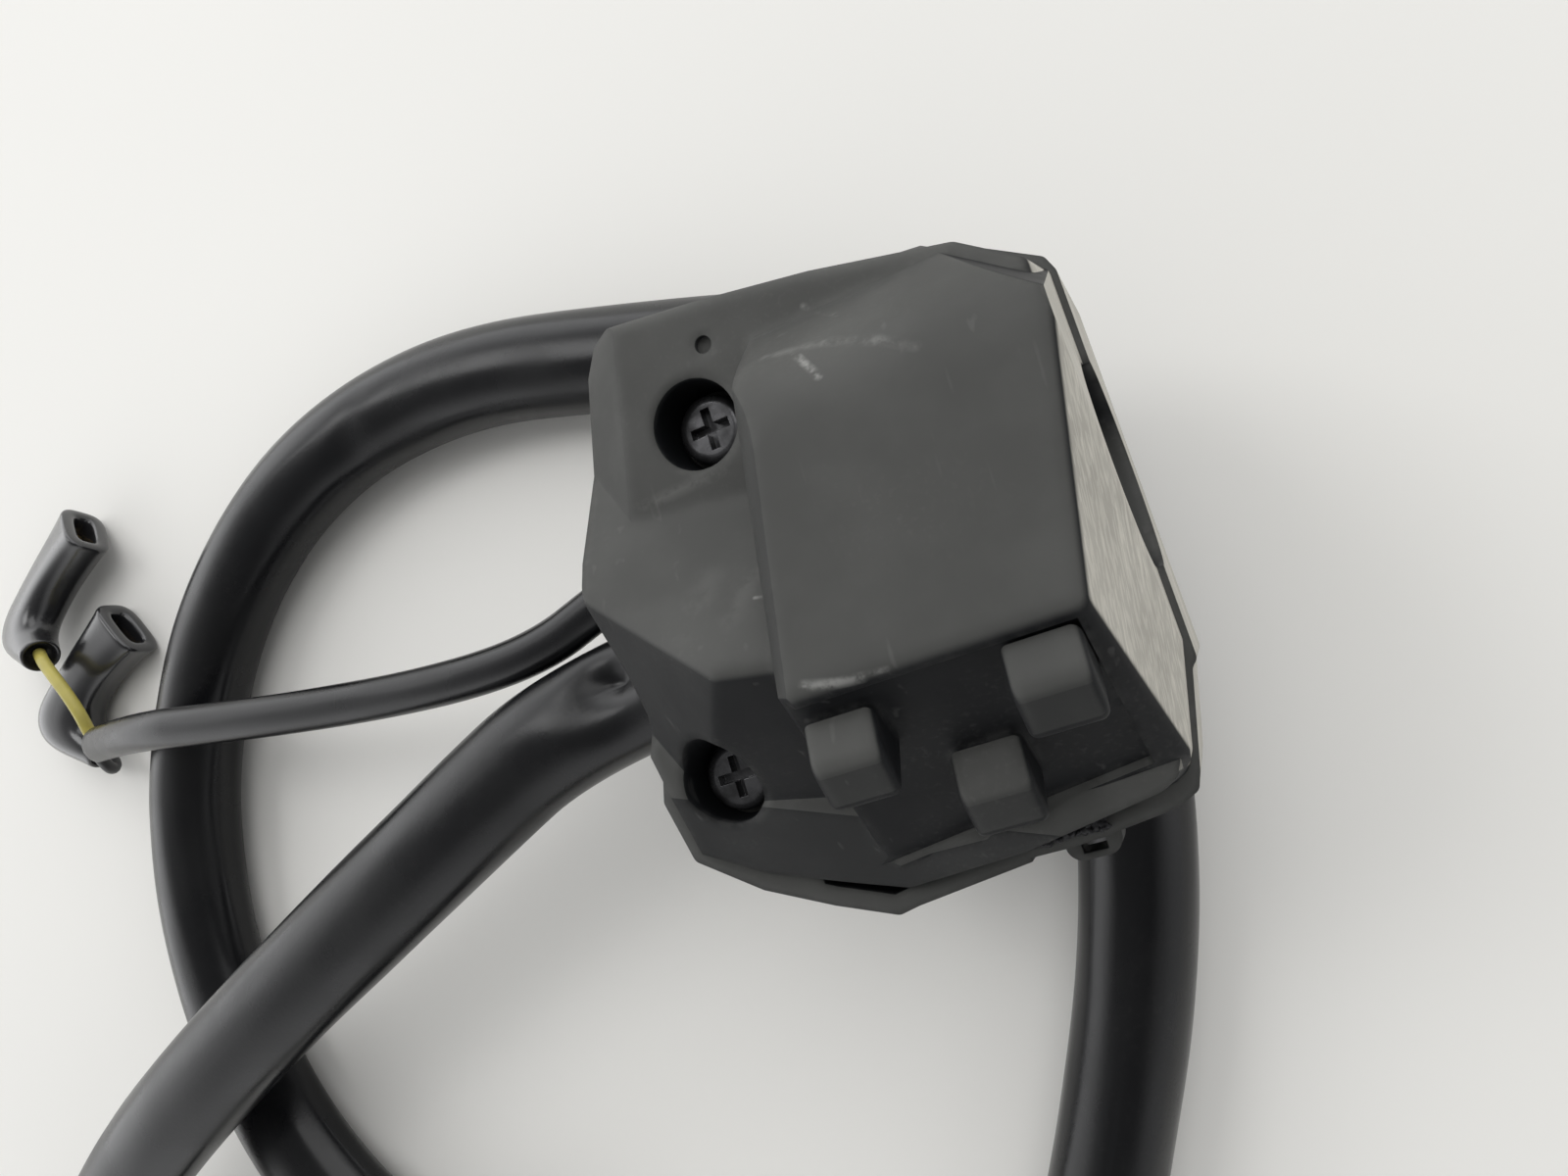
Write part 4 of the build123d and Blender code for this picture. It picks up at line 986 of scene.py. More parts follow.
def make_crumb_tree() -> NodeTree:
    """Small broken crumbs scattered along X."""
    tree, w, source, sink = geometry_tree(
        "crumbs",
        [
            (TreeInput.COUNT, INTEGER, 60),
            (TreeInput.SIZE, FLOAT, 0.0004),
            (TreeInput.SPREAD, VECTOR, (0.008, 0.001, 0.0005)),
            (TreeInput.SEED, INTEGER, 1),
        ],
    )
    row = w.add("GeometryNodeMeshLine")
    take_size(w, source, TreeInput.COUNT, row, "Count")
    row.inputs["Offset"].default_value = (0.0, 0.0, 0.0)
    scatter = random_vector(w, (0.0, 0.0, 0.0), source.outputs[TreeInput.SPREAD.value])
    take_size(w, source, TreeInput.SEED, scatter, "Seed")
    place = w.add("GeometryNodeSetPosition")
    w.join(row.outputs[0], place.inputs["Geometry"])
    w.join(scatter.outputs[0], place.inputs["Offset"])
    crumb = w.add("GeometryNodeMeshIcoSphere")
    crumb.inputs["Subdivisions"].default_value = 2
    take_size(w, source, TreeInput.SIZE, crumb, "Radius")
    turn = random_vector(w, (0.0, 0.0, 0.0), (6.28, 6.28, 6.28))
    stretch = random_vector(w, (0.35, 0.30, 0.30), (1.5, 1.0, 0.9))
    copies = w.add("GeometryNodeInstanceOnPoints")
    w.join(place.outputs[0], copies.inputs["Points"])
    w.join(crumb.outputs["Mesh"], copies.inputs["Instance"])
    w.join(turn.outputs[0], copies.inputs["Rotation"])
    w.join(stretch.outputs[0], copies.inputs["Scale"])
    end_tree(w, source, sink, copies.outputs[0])
    return tree


def grow_tree(
    name: str, tree: NodeTree, material: Material, host: Object | None = None, **sizes: object
) -> Object:
    """Runs a tree on a host and keeps the result as a plain mesh.

    Args:
        name: the piece's name.
        tree: the Geometry Nodes tree.
        material: the piece's finish.
        host: the curves that it grows on; it is removed. Without one, an empty mesh carries it.
        sizes: inputs by the names of TreeInput's members.

    Returns:
        The finished piece, at the origin.
    """
    host = host or link(bpy.data.objects.new(name, bpy.data.meshes.new(name)))
    modifier = host.modifiers.new("grow", "NODES")
    modifier.node_group = tree
    given = {TreeInput[key].value: value for key, value in sizes.items()}
    given[TreeInput.MATERIAL.value] = material
    for item in tree.interface.items_tree:
        if item.in_out == "INPUT" and item.name in given:
            modifier[item.identifier] = given[item.name]
    mesh = read_mesh(host)
    mesh.name = name
    bpy.data.objects.remove(host)
    return link(bpy.data.objects.new(name, mesh))


# --- The soft cords -------------------------------------------------------------------------------


@dataclass(frozen=True)
class Station:
    """The sleeve's width and height at a share of its length."""

    share: float
    width: float
    height: float


@dataclass(frozen=True)
class Dent:
    """A soft hollow pressed into a sleeve near a point, longer one way than the other."""

    at: Point
    depth: float
    long: float
    short: float
    heading: float = 0.0


@dataclass
class SoftSleeve:
    """A soft tube that follows its cord's line, flattened, dented and lying on the table."""

    name: str
    points: tuple[Point, ...]
    diameter: float
    stations: tuple[Station, ...]
    dents: tuple[Dent, ...] = ()
    around: int = 48
    ripple: float = 0.00012
    ripple_along: float = 55.0
    ripple_round: float = 3.1
    rests: bool = True
    line: list[Vector] = field(init=False, default_factory=list)

    def sizes_at(self, share: float) -> tuple[float, float]:
        """Half-width and half-height at a share of the length."""
        shares = [s.share for s in self.stations]
        width = np.interp(share, shares, [s.width for s in self.stations])
        height = np.interp(share, shares, [s.height for s in self.stations])
        return float(width) / 2, float(height) / 2

    def build(self, material: Material) -> Object:
        """Builds the sleeve.

        Args:
            material: its finish.

        Returns:
            The sleeve as a closed mesh with a UV map that runs along it.
        """
        self.line = curve_line(self.name + "_line", self.points)
        run = distances(self.line)
        rings = []
        for (tangent, side, up), centre, here in zip(frames(self.line), self.line, run):
            wide, high = self.sizes_at(here / run[-1])
            drop = 0.0
            if self.rests:
                gap = centre.z - self.diameter / 2 - TABLE_Z
                drop = (self.diameter / 2 - high) * max(0.0, 1.0 - gap / (0.5 * self.diameter))
            middle = centre - Vector((0, 0, drop))
            ring = []
            for angle in angles(self.around):
                c, s = math.cos(angle), math.sin(angle)
                point = middle + side * (wide * c) + up * (high * s)
                outward = (side * (c / wide) + up * (s / high)).normalized()
                spot = Vector((here * self.ripple_along, self.ripple_round * c, self.ripple_round * s))
                swell = self.ripple * noise.noise(spot)
                ring.append(self.pressed(point + outward * swell, outward))
            rings.append(ring)
        return self.skin(rings, run, material)

    def pressed(self, point: Vector, outward: Vector) -> Vector:
        """A surface point after the dents near it."""
        for dent in self.dents:
            away = point - Vector(dent.at)
            if away.length > DENT_REACH * dent.long:
                continue
            turn = math.radians(dent.heading)
            along = away.x * math.cos(turn) + away.y * math.sin(turn)
            across = math.sqrt(max(0.0, away.length_squared - along * along))
            fade = math.exp(-((along / dent.long) ** 2) - (across / dent.short) ** 2)
            point = point - outward * (dent.depth * fade)
        return point

    def skin(self, rings: list[list[Vector]], run: list[float], material: Material) -> Object:
        """Joins the rings into a closed tube.

        Args:
            rings: the points of each ring.
            run: distance along the line of each ring.
            material: its finish.

        Returns:
            The tube's object.
        """
        n = self.around
        vertices = [p for ring in rings for p in ring]
        piece = mesh_object(self.name, vertices, tube_faces(len(rings), n), material)
        layer = piece.data.uv_layers.new(name="sleeve")
        for polygon in piece.data.polygons:
            if len(polygon.vertices) > 4:
                continue
            wraps = {loop_vertex % n for loop_vertex in polygon.vertices} == {0, n - 1}
            for loop, vertex in zip(polygon.loop_indices, polygon.vertices):
                ring, k = divmod(vertex, n)
                turn = 1.0 if wraps and k == 0 else k / n
                layer.data[loop].uv = (turn, run[ring] / (math.pi * self.diameter))
        return piece


@dataclass(frozen=True)
class Loom:
    """The main loom: sleeve, end tape, six wires, connector and its terminals."""

    exit_at: Point = (-0.0299, -0.003, -0.0212)
    diameter: float = 0.0165
    length: float = 0.989
    points: tuple[Point, ...] = (
        (-0.0075, -0.0030, -0.0212),
        (-0.0500, -0.0030, -0.0212),
        (-0.0820, -0.0155, -0.0212),
        (-0.1400, -0.0395, -0.0230),
        (-0.1740, -0.0570, -0.0258),
        (-0.2000, -0.0780, -0.0305),
        (-0.2150, -0.1070, -0.0360),
        (-0.2130, -0.1380, -0.0405),
        (-0.1960, -0.1640, -0.04175),
        (-0.1680, -0.1800, -0.04175),
        (-0.1320, -0.1840, -0.04175),
        (-0.0940, -0.1780, -0.04175),
        (-0.0580, -0.1600, -0.04175),
        (-0.0300, -0.1310, -0.04175),
        (-0.0070, -0.0920, -0.04175),
        (0.0110, -0.0560, -0.04175),
        (0.0190, -0.0220, -0.04175),
        (0.0130, 0.0120, -0.04175),
        (-0.0060, 0.0380, -0.04175),
        (-0.0360, 0.0490, -0.04175),
        (-0.0720, 0.0600, -0.04175),
        (-0.1060, 0.0570, -0.04175),
        (-0.1340, 0.0400, -0.04175),
        (-0.1520, 0.0140, -0.04175),
        (-0.1600, -0.0160, -0.04175),
        (-0.1580, -0.0460, -0.04175),
        (-0.1470, -0.0720, -0.04175),
        (-0.1270, -0.0930, -0.04175),
        (-0.1000, -0.1040, -0.04175),
    )
    stations: tuple[Station, ...] = (
        Station(0.00, 0.0163, 0.0163),
        Station(0.02, 0.0168, 0.0158),
        Station(0.05, 0.0176, 0.0146),
        Station(0.09, 0.0180, 0.0146),
        Station(0.16, 0.0184, 0.0146),
        Station(0.24, 0.0186, 0.0144),
        Station(0.40, 0.0176, 0.0150),
        Station(0.55, 0.0158, 0.0158),
        Station(0.66, 0.0166, 0.0156),
        Station(0.76, 0.0176, 0.0148),
        Station(0.86, 0.0172, 0.0146),
        Station(0.92, 0.0196, 0.0126),
        Station(0.95, 0.0200, 0.0124),
        Station(0.98, 0.0170, 0.0160),
        Station(1.00, 0.0165, 0.0165),
    )
    tape_length: float = 0.012
    tape_thickness: float = 0.0005
    tape_layers: int = 3
    tape_steps: int = 60
    tape_around: int = 56
    tape_sink: float = 0.0002
    connector_gap: float = 0.014
    wire_radius: float = 0.001
    wire_lead_in: float = 0.004
    ways: tuple[tuple[int, int], ...] = ((-1, -1), (-1, 1), (0, -1), (0, 1), (1, -1), (1, 1))
    bundle_pitch: float = 0.003
    bundle_row: float = 0.0017
    cavity_pitch: float = 0.0054
    cavity_row: float = 0.0029
    connector_drop: float = -0.00175

    def end_frame(self) -> Matrix:
        """The place of the far end: X runs out of the sleeve."""
        last, before = Vector(self.points[-1]), Vector(self.points[-2])
        heading = math.atan2(last.y - before.y, last.x - before.x)
        return Matrix.Translation(last) @ Matrix.Rotation(heading, 4, "Z")

    def build_tape(self, material: Material) -> Object:
        """Vinyl tape wound in overlapping turns round the sleeve's end."""
        place = self.end_frame()

        def ring(x: float, radius: float) -> list[Vector]:
            """The points round the sleeve's end at x."""
            around = angles(self.tape_around)
            return [place @ Vector((x, radius * math.cos(a), radius * math.sin(a))) for a in around]

        rings = []
        for i in range(self.tape_steps + 1):
            x = -self.tape_length + (self.tape_length - self.tape_thickness) * i / self.tape_steps
            phase = (i / self.tape_steps * self.tape_layers) % 1.0
            lift = self.tape_thickness * (0.55 + 0.45 * min(1.0, 6 * phase))
            rings.append(ring(x, self.diameter / 2 + lift))
        core = self.diameter / 2 - self.tape_sink
        rings += [ring(x, core) for x in (-self.tape_thickness, -self.tape_length)]
        vertices = [p for points in rings for p in points]
        faces = tube_faces(len(rings), self.tape_around, looped=True)
        return mesh_object("loom_end_wrap", vertices, faces, material)

    def wire_routes(self) -> list[list[Point]]:
        """Each wire's control points from the sleeve's end to its way in the connector."""
        place, routes = self.end_frame(), []
        for column, row in self.ways:
            start = (column * self.bundle_pitch, row * self.bundle_row)
            end = (column * self.cavity_pitch, row * self.cavity_row + self.connector_drop)
            gap, lead_in = self.connector_gap, self.wire_lead_in
            local = [
                (0.0, *start),
                (lead_in, *start),
                (gap / 2, (start[0] + end[0]) / 2, (start[1] + end[1]) / 2),
                (gap - lead_in, *end),
                (gap, *end),
            ]
            routes.append([tuple(place @ Vector(p)) for p in local])
        return routes


@dataclass(frozen=True)
class ClutchLead:
    """The thin lead of the clutch switch: sleeve, two wires and their flag boots."""

    exit_at: Point = (-0.0299, 0.012, -0.0203)
    diameter: float = 0.0065
    length: float = 0.158
    points: tuple[Point, ...] = (
        (-0.01488, 0.0120, -0.0203),
        (-0.0335, 0.0120, -0.0203),
        (-0.0440, 0.0093, -0.0206),
        (-0.0565, 0.0060, -0.0214),
        (-0.0740, 0.0066, -0.0229),
        (-0.0970, 0.0098, -0.0247),
        (-0.1240, 0.0148, -0.0262),
        (-0.1490, 0.0200, -0.0282),
        (-0.1695, 0.0223, -0.0380),
    )
    stations: tuple[Station, ...] = (
        Station(0.00, 0.0064, 0.0064),
        Station(0.15, 0.0066, 0.0060),
        Station(0.45, 0.0068, 0.0058),
        Station(0.80, 0.0072, 0.0056),
        Station(1.00, 0.0070, 0.0058),
    )
    wire_radius: float = 0.0012
    yellow_points: tuple[Point, ...] = (
        (-0.168500, 0.023560, -0.037500),
        (-0.169404, 0.023642, -0.037954),
        (-0.172552, 0.023918, -0.039459),
        (-0.171500, 0.031000, -0.036800),
        (-0.177382, 0.041384, -0.036994),
        (-0.179705, 0.043607, -0.038375),
        (-0.180700, 0.044600, -0.038960),
    )
    black_points: tuple[Point, ...] = (
        (-0.168700, 0.020870, -0.037590),
        (-0.169596, 0.020958, -0.038046),
        (-0.172744, 0.021235, -0.039551),
        (-0.174600, 0.017400, -0.043400),
        (-0.175790, 0.018995, -0.045750),
        (-0.178132, 0.021596, -0.045750),
        (-0.179135, 0.022710, -0.045750),
    )


@dataclass(frozen=True)
class BootRing:
    """One ring of a boot in its own frame: outer rail, inner rail and height, in millimetres."""

    outer: tuple[float, float]
    inner: tuple[float, float]
    height: float
    squareness: float


@dataclass(frozen=True)
class FlagBoot:
    """A vinyl flag boot: a flat open mouth leg, an elbow and a round neck for the wire."""

    name: str
    elbow: Point
    heading: float
    tilt: float
    around: int = 36
    wall: float = 2.7
    mouth_depth: float = 14.0
    neck_depth: float = 2.2
    neck_inward: Point = (-0.242, 0.970, 0.0)
    neck_walls: tuple[float, float] = (0.8, 1.4)
    rings: tuple[BootRing, ...] = (
        BootRing((27.0, 6.25), (27.0, -7.3), 8.7, 3.6),
        BootRing((26.4, 6.3), (26.3, -7.2), 8.8, 3.6),
        BootRing((24.0, 6.2), (24.0, -6.5), 8.6, 3.4),
        BootRing((20.0, 6.1), (20.0, -5.7), 8.5, 3.3),
        BootRing((16.0, 6.0), (16.2, -5.2), 8.5, 3.2),
        BootRing((12.0, 5.9), (12.8, -5.1), 8.5, 3.1),
        BootRing((8.0, 5.7), (10.2, -5.4), 8.5, 3.0),
        BootRing((3.5, 5.5), (8.3, -6.0), 8.5, 2.9),
        BootRing((-1.5, 5.0), (7.2, -6.8), 8.5, 2.8),
        BootRing((-4.6, 2.6), (6.6, -7.6), 8.45, 2.7),
        BootRing((-5.4, -0.6), (6.2, -8.4), 8.4, 2.6),
        BootRing((-4.9, -3.6), (6.1, -9.2), 8.3, 2.5),
        BootRing((-3.7, -6.6), (6.2, -10.0), 8.1, 2.4),
        BootRing((-2.2, -9.8), (6.4, -11.0), 7.8, 2.2),
        BootRing((-0.9, -12.4), (6.7, -12.1), 7.4, 2.0),
        BootRing((-0.1, -14.4), (6.9, -12.7), 7.2, 2.0),
    )

    def place(self) -> Matrix:
        """The boot's frame at its elbow."""
        turn = Matrix.Rotation(math.radians(self.heading), 4, "Z")
        lean = Matrix.Rotation(math.radians(self.tilt), 4, "X")
        return Matrix.Translation(Vector(self.elbow)) @ (turn @ lean)

    def ring_points(self, ring: BootRing, shrink: float = 0.0, shift: float = 0.0) -> list[Vector]:
        """The points of one ring.

        Args:
            ring: which ring.
            shrink: how far each side draws in, in millimetres.
            shift: how far it moves along the boot's own X, in millimetres.

        Returns:
            Its points in the row frame.
        """
        outer, inner = Vector((*ring.outer, 0)), Vector((*ring.inner, 0))
        middle, across = (outer + inner) / 2, (outer - inner)
        half, high = across.length / 2 - shrink, ring.height / 2 - shrink
        across.normalize()
        points = []
        for angle in angles(self.around):
            c, s = math.cos(angle), math.sin(angle)
            reach = (abs(c) ** ring.squareness + abs(s) ** ring.squareness) ** (-1 / ring.squareness)
            local = middle + across * (half * reach * c) + Vector((shift, 0, high * reach * s))
            points.append(self.place() @ (local * MM))
        return points

    def build(self, material: Material) -> Object:
        """Builds the boot with its open mouth and open neck end.

        Args:
            material: its finish.

        Returns:
            The boot's object.
        """
        mouth, neck = self.rings[0], self.rings[-1]
        inside = ((self.wall + 0.8, -self.mouth_depth), (self.wall, -2.0))
        lip = ((self.wall, 0.0), (0.5 * self.wall, 0.25))
        loops = [self.ring_points(mouth, shrink, shift) for shrink, shift in inside + lip]
        loops += [self.ring_points(ring) for ring in self.rings]
        sink_by = (self.place().to_3x3() @ Vector(self.neck_inward)) * self.neck_depth * MM
        rim, bottom = (self.ring_points(neck, shrink) for shrink in self.neck_walls)
        loops += [rim, [p + sink_by for p in bottom]]
        faces = tube_faces(len(loops), self.around)
        piece = mesh_object(self.name, [p for loop in loops for p in loop], faces, material)
        smooth = piece.modifiers.new("round", "SUBSURF")
        smooth.levels = smooth.render_levels = 2
        return piece


# --- Stage, light and camera ----------------------------------------------------------------------


@dataclass(frozen=True)
class Panel:
    """A square soft lamp: its place, its side and its power."""

    name: str
    at: Point
    size: float
    power: float


@dataclass(frozen=True)
class Studio:
    """The pale table, soft light and the photograph's camera."""

    camera_at: Point = (0.03511, -0.01414, 0.12148)
    camera_right: Point = (0.88237, -0.30610, -0.35738)
    camera_up: Point = (0.32481, 0.94575, -0.00809)
    camera_back: Point = (0.34046, -0.10894, 0.93393)
    lens: float = 26.0
    sensor: float = 36.0
    clip_start: float = 0.005
    table_colour: Colour = (0.845, 0.835, 0.80)
    table_reach: float = 3.0
    sky_far: float = 0.80
    sky_near: float = 2.30
    sky_overhead: float = 0.15
    sky_towards: Point = (-0.62, 0.78, 0.0)
    sky_colour: Colour = (0.985, 0.99, 1.0)
    sky_falls: tuple[float, float] = (0.35, 0.80)
    lamps_aim: Point = (-0.03, 0.0, -0.02)
    panels: tuple[Panel, ...] = (
        Panel("key_panel", (0.75, 0.90, 1.85), 1.7, 15.5),
        Panel("fill_panel", (1.90, -0.30, 0.75), 1.5, 1.8),
        Panel("side_panel", (-0.95, 0.95, 1.60), 0.8, 7.5),
    )

    def build(self) -> None:
        """Builds the table, the world, the lamps and the camera."""
        scene = bpy.context.scene
        scene.view_settings.view_transform = "Standard"
        self.build_table()
        self.build_world(scene)
        for panel in self.panels:
            self.build_lamp(panel)
        data = bpy.data.cameras.new("camera")
        data.lens, data.sensor_width = self.lens, self.sensor
        data.clip_start = self.clip_start
        camera = link(bpy.data.objects.new("camera", data))
        turn = Matrix((self.camera_right, self.camera_up, self.camera_back)).transposed()
        camera.matrix_world = Matrix.Translation(Vector(self.camera_at)) @ turn.to_4x4()
        scene.camera = camera

    def build_table(self) -> None:
        """A plain pale table top."""
        reach = self.table_reach / 2
        paint = Paint("table_top", 0.6, specular=0.25)
        w = paint.wiring
        cloud = w.span(w.noise(paint.place, 6.0, 2.0), 0.3, 0.7)
        paint.colour(w.mix(cloud, scaled(self.table_colour, 0.985), self.table_colour))
        corners = [(x * reach, y * reach, TABLE_Z) for x, y in ((-1, -1), (1, -1), (1, 1), (-1, 1))]
        table = mesh_object("table_top", corners, [(0, 1, 2, 3)], paint.material)
        if table.data.polygons[0].normal.z < 0:
            table.data.flip_normals()

    def build_world(self, scene: bpy.types.Scene) -> None:
        """A room that is bright low down, most of all to one side, and dark overhead."""
        world = bpy.data.worlds.new("room")
        world.use_nodes = True
        world.node_tree.nodes.clear()
        w = Wiring(world.node_tree)
        heading = w.add("ShaderNodeTexCoord").outputs["Generated"]
        around = w.span(w.dot(heading, self.sky_towards), -1.0, 1.0, self.sky_far, self.sky_near)
        height = w.dot(heading, (0.0, 0.0, 1.0))
        strength = w.maths("MULTIPLY", around, w.span(height, *self.sky_falls, 1.0, self.sky_overhead))
        light = w.add("ShaderNodeBackground")
        light.inputs[0].default_value = (*self.sky_colour, 1.0)
        w.join(strength, light.inputs[1])
        w.join(light.outputs[0], w.add("ShaderNodeOutputWorld").inputs[0])
        scene.world = world

    def build_lamp(self, panel: Panel) -> None:
        """A square soft panel that faces the casing."""
        data = bpy.data.lights.new(panel.name, "AREA")
        data.shape, data.size, data.energy = "SQUARE", panel.size, panel.power
        lamp = link(bpy.data.objects.new(panel.name, data))
        lamp.location = panel.at
        aim = Vector(self.lamps_aim) - Vector(panel.at)
        lamp.rotation_euler = aim.to_track_quat("-Z", "Y").to_euler()


# --- Marks, dents and small pieces ----------------------------------------------------------------


# The pale rubs and scratches on the casing, the last two a painted sheen on a polished patch: from,
# to, half-width and strength
CASING_MARKS: tuple[Mark, ...] = (
    Mark((0.00568, 0.01925, 0.01725), (0.00796, 0.01553, 0.01993), 0.0006, 1.4),
    Mark((0.00208, 0.02082, 0.01550), (0.00890, 0.01920, 0.01730), 0.0009, 0.30),
    Mark((0.00890, 0.01920, 0.01730), (0.01436, 0.01661, 0.01930), 0.0009, 0.35),
    Mark((0.01436, 0.01661, 0.01930), (0.01767, 0.01435, 0.02048), 0.0008, 0.25),
    Mark((0.00600, 0.02620, 0.00940), (0.01012, 0.02252, 0.01325), 0.0005, 0.60),
    Mark((-0.00122, -0.01190, 0.02487), (0.00428, -0.01322, 0.02506), 0.0007, 0.90),
    Mark((0.00015, -0.01232, 0.02493), (0.00675, -0.01290, 0.02502), 0.0005, 0.80),
    Mark((-0.01947, 0.01289, 0.00940), (-0.00856, 0.01335, 0.00940), 0.0010, 0.22),
    Mark((-0.00603, -0.00193, 0.01760), (-0.00520, -0.00200, 0.01780), 0.0003, 0.90),
    # Painted sheen: broad pale marks where the left facet is rubbed polished
    Mark((-0.00880, -0.00290, 0.01870), (-0.00560, 0.00100, 0.01600), 0.0022, 0.12),
    Mark((-0.01363, -0.00245, 0.01869), (-0.01100, 0.00200, 0.01600), 0.0026, 0.10),
)


@dataclass(frozen=True)
class Spring:
    """A coil spring inside a control."""

    name: str
    node: str
    body: str
    joint: str
    centre: tuple[float, float]
    span: tuple[float, float]
    radius: float
    wire: float
    turns: float
    travel: float


SPRINGS: tuple[Spring, ...] = (
    Spring(
        name="cancel_spring",
        node="turn_cancel_spring",
        body="carriage",
        joint="turn_push",
        centre=(0.0069, 0.00098),
        span=(-0.03158, -0.02722),
        radius=0.0027,
        wire=0.00028,
        turns=3.0,
        travel=0.0015,
    ),
    Spring(
        name="horn_return_spring",
        node="horn_spring",
        body="base",
        joint="horn_press",
        centre=(0.0069, -0.0203),
        span=(-0.02318, -0.01522),
        radius=0.0046,
        wire=0.0004,
        turns=5.0,
        travel=0.002,
    ),
)

# The wires inside the casing: radius, and control points in millimetres
INNER_WIRE_RADIUS = 0.0009
INNER_ROUTES: tuple[tuple[Point, ...], ...] = (
    ((-7.5, 1.2, -18.4), (-5.6, 1.2, -18.4), (-3.8, 8.6, -15.2), (-3.8, 12.6, -15.2)),
    ((-7.5, -3.0, -16.2), (-5.9, -3.0, -16.2), (-4.4, -3.0, -15.2), (-2.6, -3.0, -15.2)),
    ((-7.5, -6.6, -18.0), (-4.6, -6.6, -18.0), (-4.4, -9.6, -14.2), (-4.4, -11.0, -14.2)),
)


@dataclass(frozen=True)
class TornEdge:
    """The crumbs on the torn rim: how many, how large, how far they spread and where they start."""

    count: int
    size: float
    spread: Point
    start: Point
    heading: float


TORN_EDGE = TornEdge(90, 0.00042, (0.0088, 0.0011, 0.0004), (0.0084, -0.0354, 0.0), 2.0)

# The hollows pressed into the loom where it bends and leaves the casing
LOOM_DENTS: tuple[Dent, ...] = (
    Dent((-0.0432, -0.0010, -0.0138), 0.0044, 0.0046, 0.0032, 150.0),
    Dent((-0.0480, -0.0040, -0.0140), 0.0012, 0.0070, 0.0035, 150.0),
    Dent((-0.0850, 0.0457, -0.0345), 0.0030, 0.0075, 0.0034, 20.0),
    Dent((-0.0718, 0.0462, -0.0345), 0.0024, 0.0070, 0.0030, 160.0),
    Dent((-0.0952, 0.0436, -0.0340), 0.0022, 0.0085, 0.0030, 60.0),
    Dent((-0.1060, 0.0385, -0.0340), 0.0015, 0.0180, 0.0022, 50.0),
    Dent((-0.1408, -0.0020, -0.0337), 0.0018, 0.0200, 0.0021, 80.0),
    Dent((-0.1452, -0.0040, -0.0337), 0.0009, 0.0180, 0.0018, 80.0),
    Dent((-0.1462, -0.0445, -0.0345), 0.0022, 0.0100, 0.0045, 70.0),
    Dent((-0.1343, -0.0379, -0.0345), 0.0015, 0.0080, 0.0035, 110.0),
)


# --- The whole cluster ----------------------------------------------------------------------------


@dataclass
class Finishes:
    """Every finish on the cluster, by the record's slot."""

    effects: SurfaceEffects
    made: dict[Slot, Material] = field(init=False)

    def __post_init__(self) -> None:
        """Builds the materials."""
        recipes = {
            Slot.CASING: MouldedPlastic(
                "charcoal_casing",
                base=(0.065, 0.0655, 0.062),
                # painted shade on faces turned away from the light
                painted_shade=(0.008, 0.0085, 0.0095),
                worn_and_sheen=(0.22, 0.22, 0.21),
                roughness=0.5,
                specular=0.13,
                edge_radius=0.002,
                wear=0.1,
                dust=0.05,
                # scuffed end face, with a painted sheen over it
                end_scuffs_and_sheen=True,
                marks=CASING_MARKS,
            ),
            Slot.CONTROL: MouldedPlastic(
                "black_control_caps",
                base=(0.022, 0.022, 0.024),
                # painted shade on faces turned away from the light
                painted_shade=(0.014, 0.014, 0.016),
                worn_and_sheen=(0.16, 0.16, 0.16),
                roughness=0.34,
                edge_radius=0.0004,
                wear=0.25,
                dust=0.1,
            ),
            Slot.SLEEVE: SoftVinyl(
                "sleeve_vinyl",
                base=(0.0022, 0.0023, 0.0029),
                pale=(0.05, 0.055, 0.06),
                roughness=0.27,
                specular=0.38,
                dust=0.015,
                bloom=0.10,
            ),
            Slot.BOOT: SoftVinyl(
                "boot_vinyl",
                base=(0.009, 0.009, 0.010),
                pale=(0.10, 0.12, 0.13),
                roughness=0.22,
                specular=0.5,
                coat=0.6,
                dust=0.05,
                lengthwise=False,
            ),
            Slot.BLACK: CleanPlastic(
                "black_insulation", (0.02, 0.02, 0.021), (0.05, 0.05, 0.05), 0.4
            ),
            Slot.YELLOW: CleanPlastic(
                "yellow_insulation", (0.44, 0.38, 0.08), (0.24, 0.21, 0.08), 0.42
            ),
            Slot.NYLON: CleanPlastic(
                "white_nylon", (0.80, 0.79, 0.74), (0.66, 0.62, 0.52), 0.38, subsurface=0.15
            ),
            Slot.BOARD: CleanPlastic(
                "brown_board", (0.23, 0.12, 0.05), (0.12, 0.06, 0.025), 0.5, grime_amount=0.6
            ),
            Slot.BRASS: Metal("contact_brass", (0.72, 0.53, 0.22), (0.44, 0.30, 0.12), 0.28),
            Slot.ZINC: Metal(
                "black_zinc", (0.13, 0.13, 0.135), (0.035, 0.035, 0.036), 0.24, metallic=0.7
            ),
            Slot.STEEL: Metal("bare_steel", (0.60, 0.60, 0.59), (0.36, 0.35, 0.34), 0.28),
        }
        self.made = {slot: recipe.material(self.effects) for slot, recipe in recipes.items()}

    def __getitem__(self, slot: Slot) -> Material:
        """The material of a slot."""
        return self.made[slot]


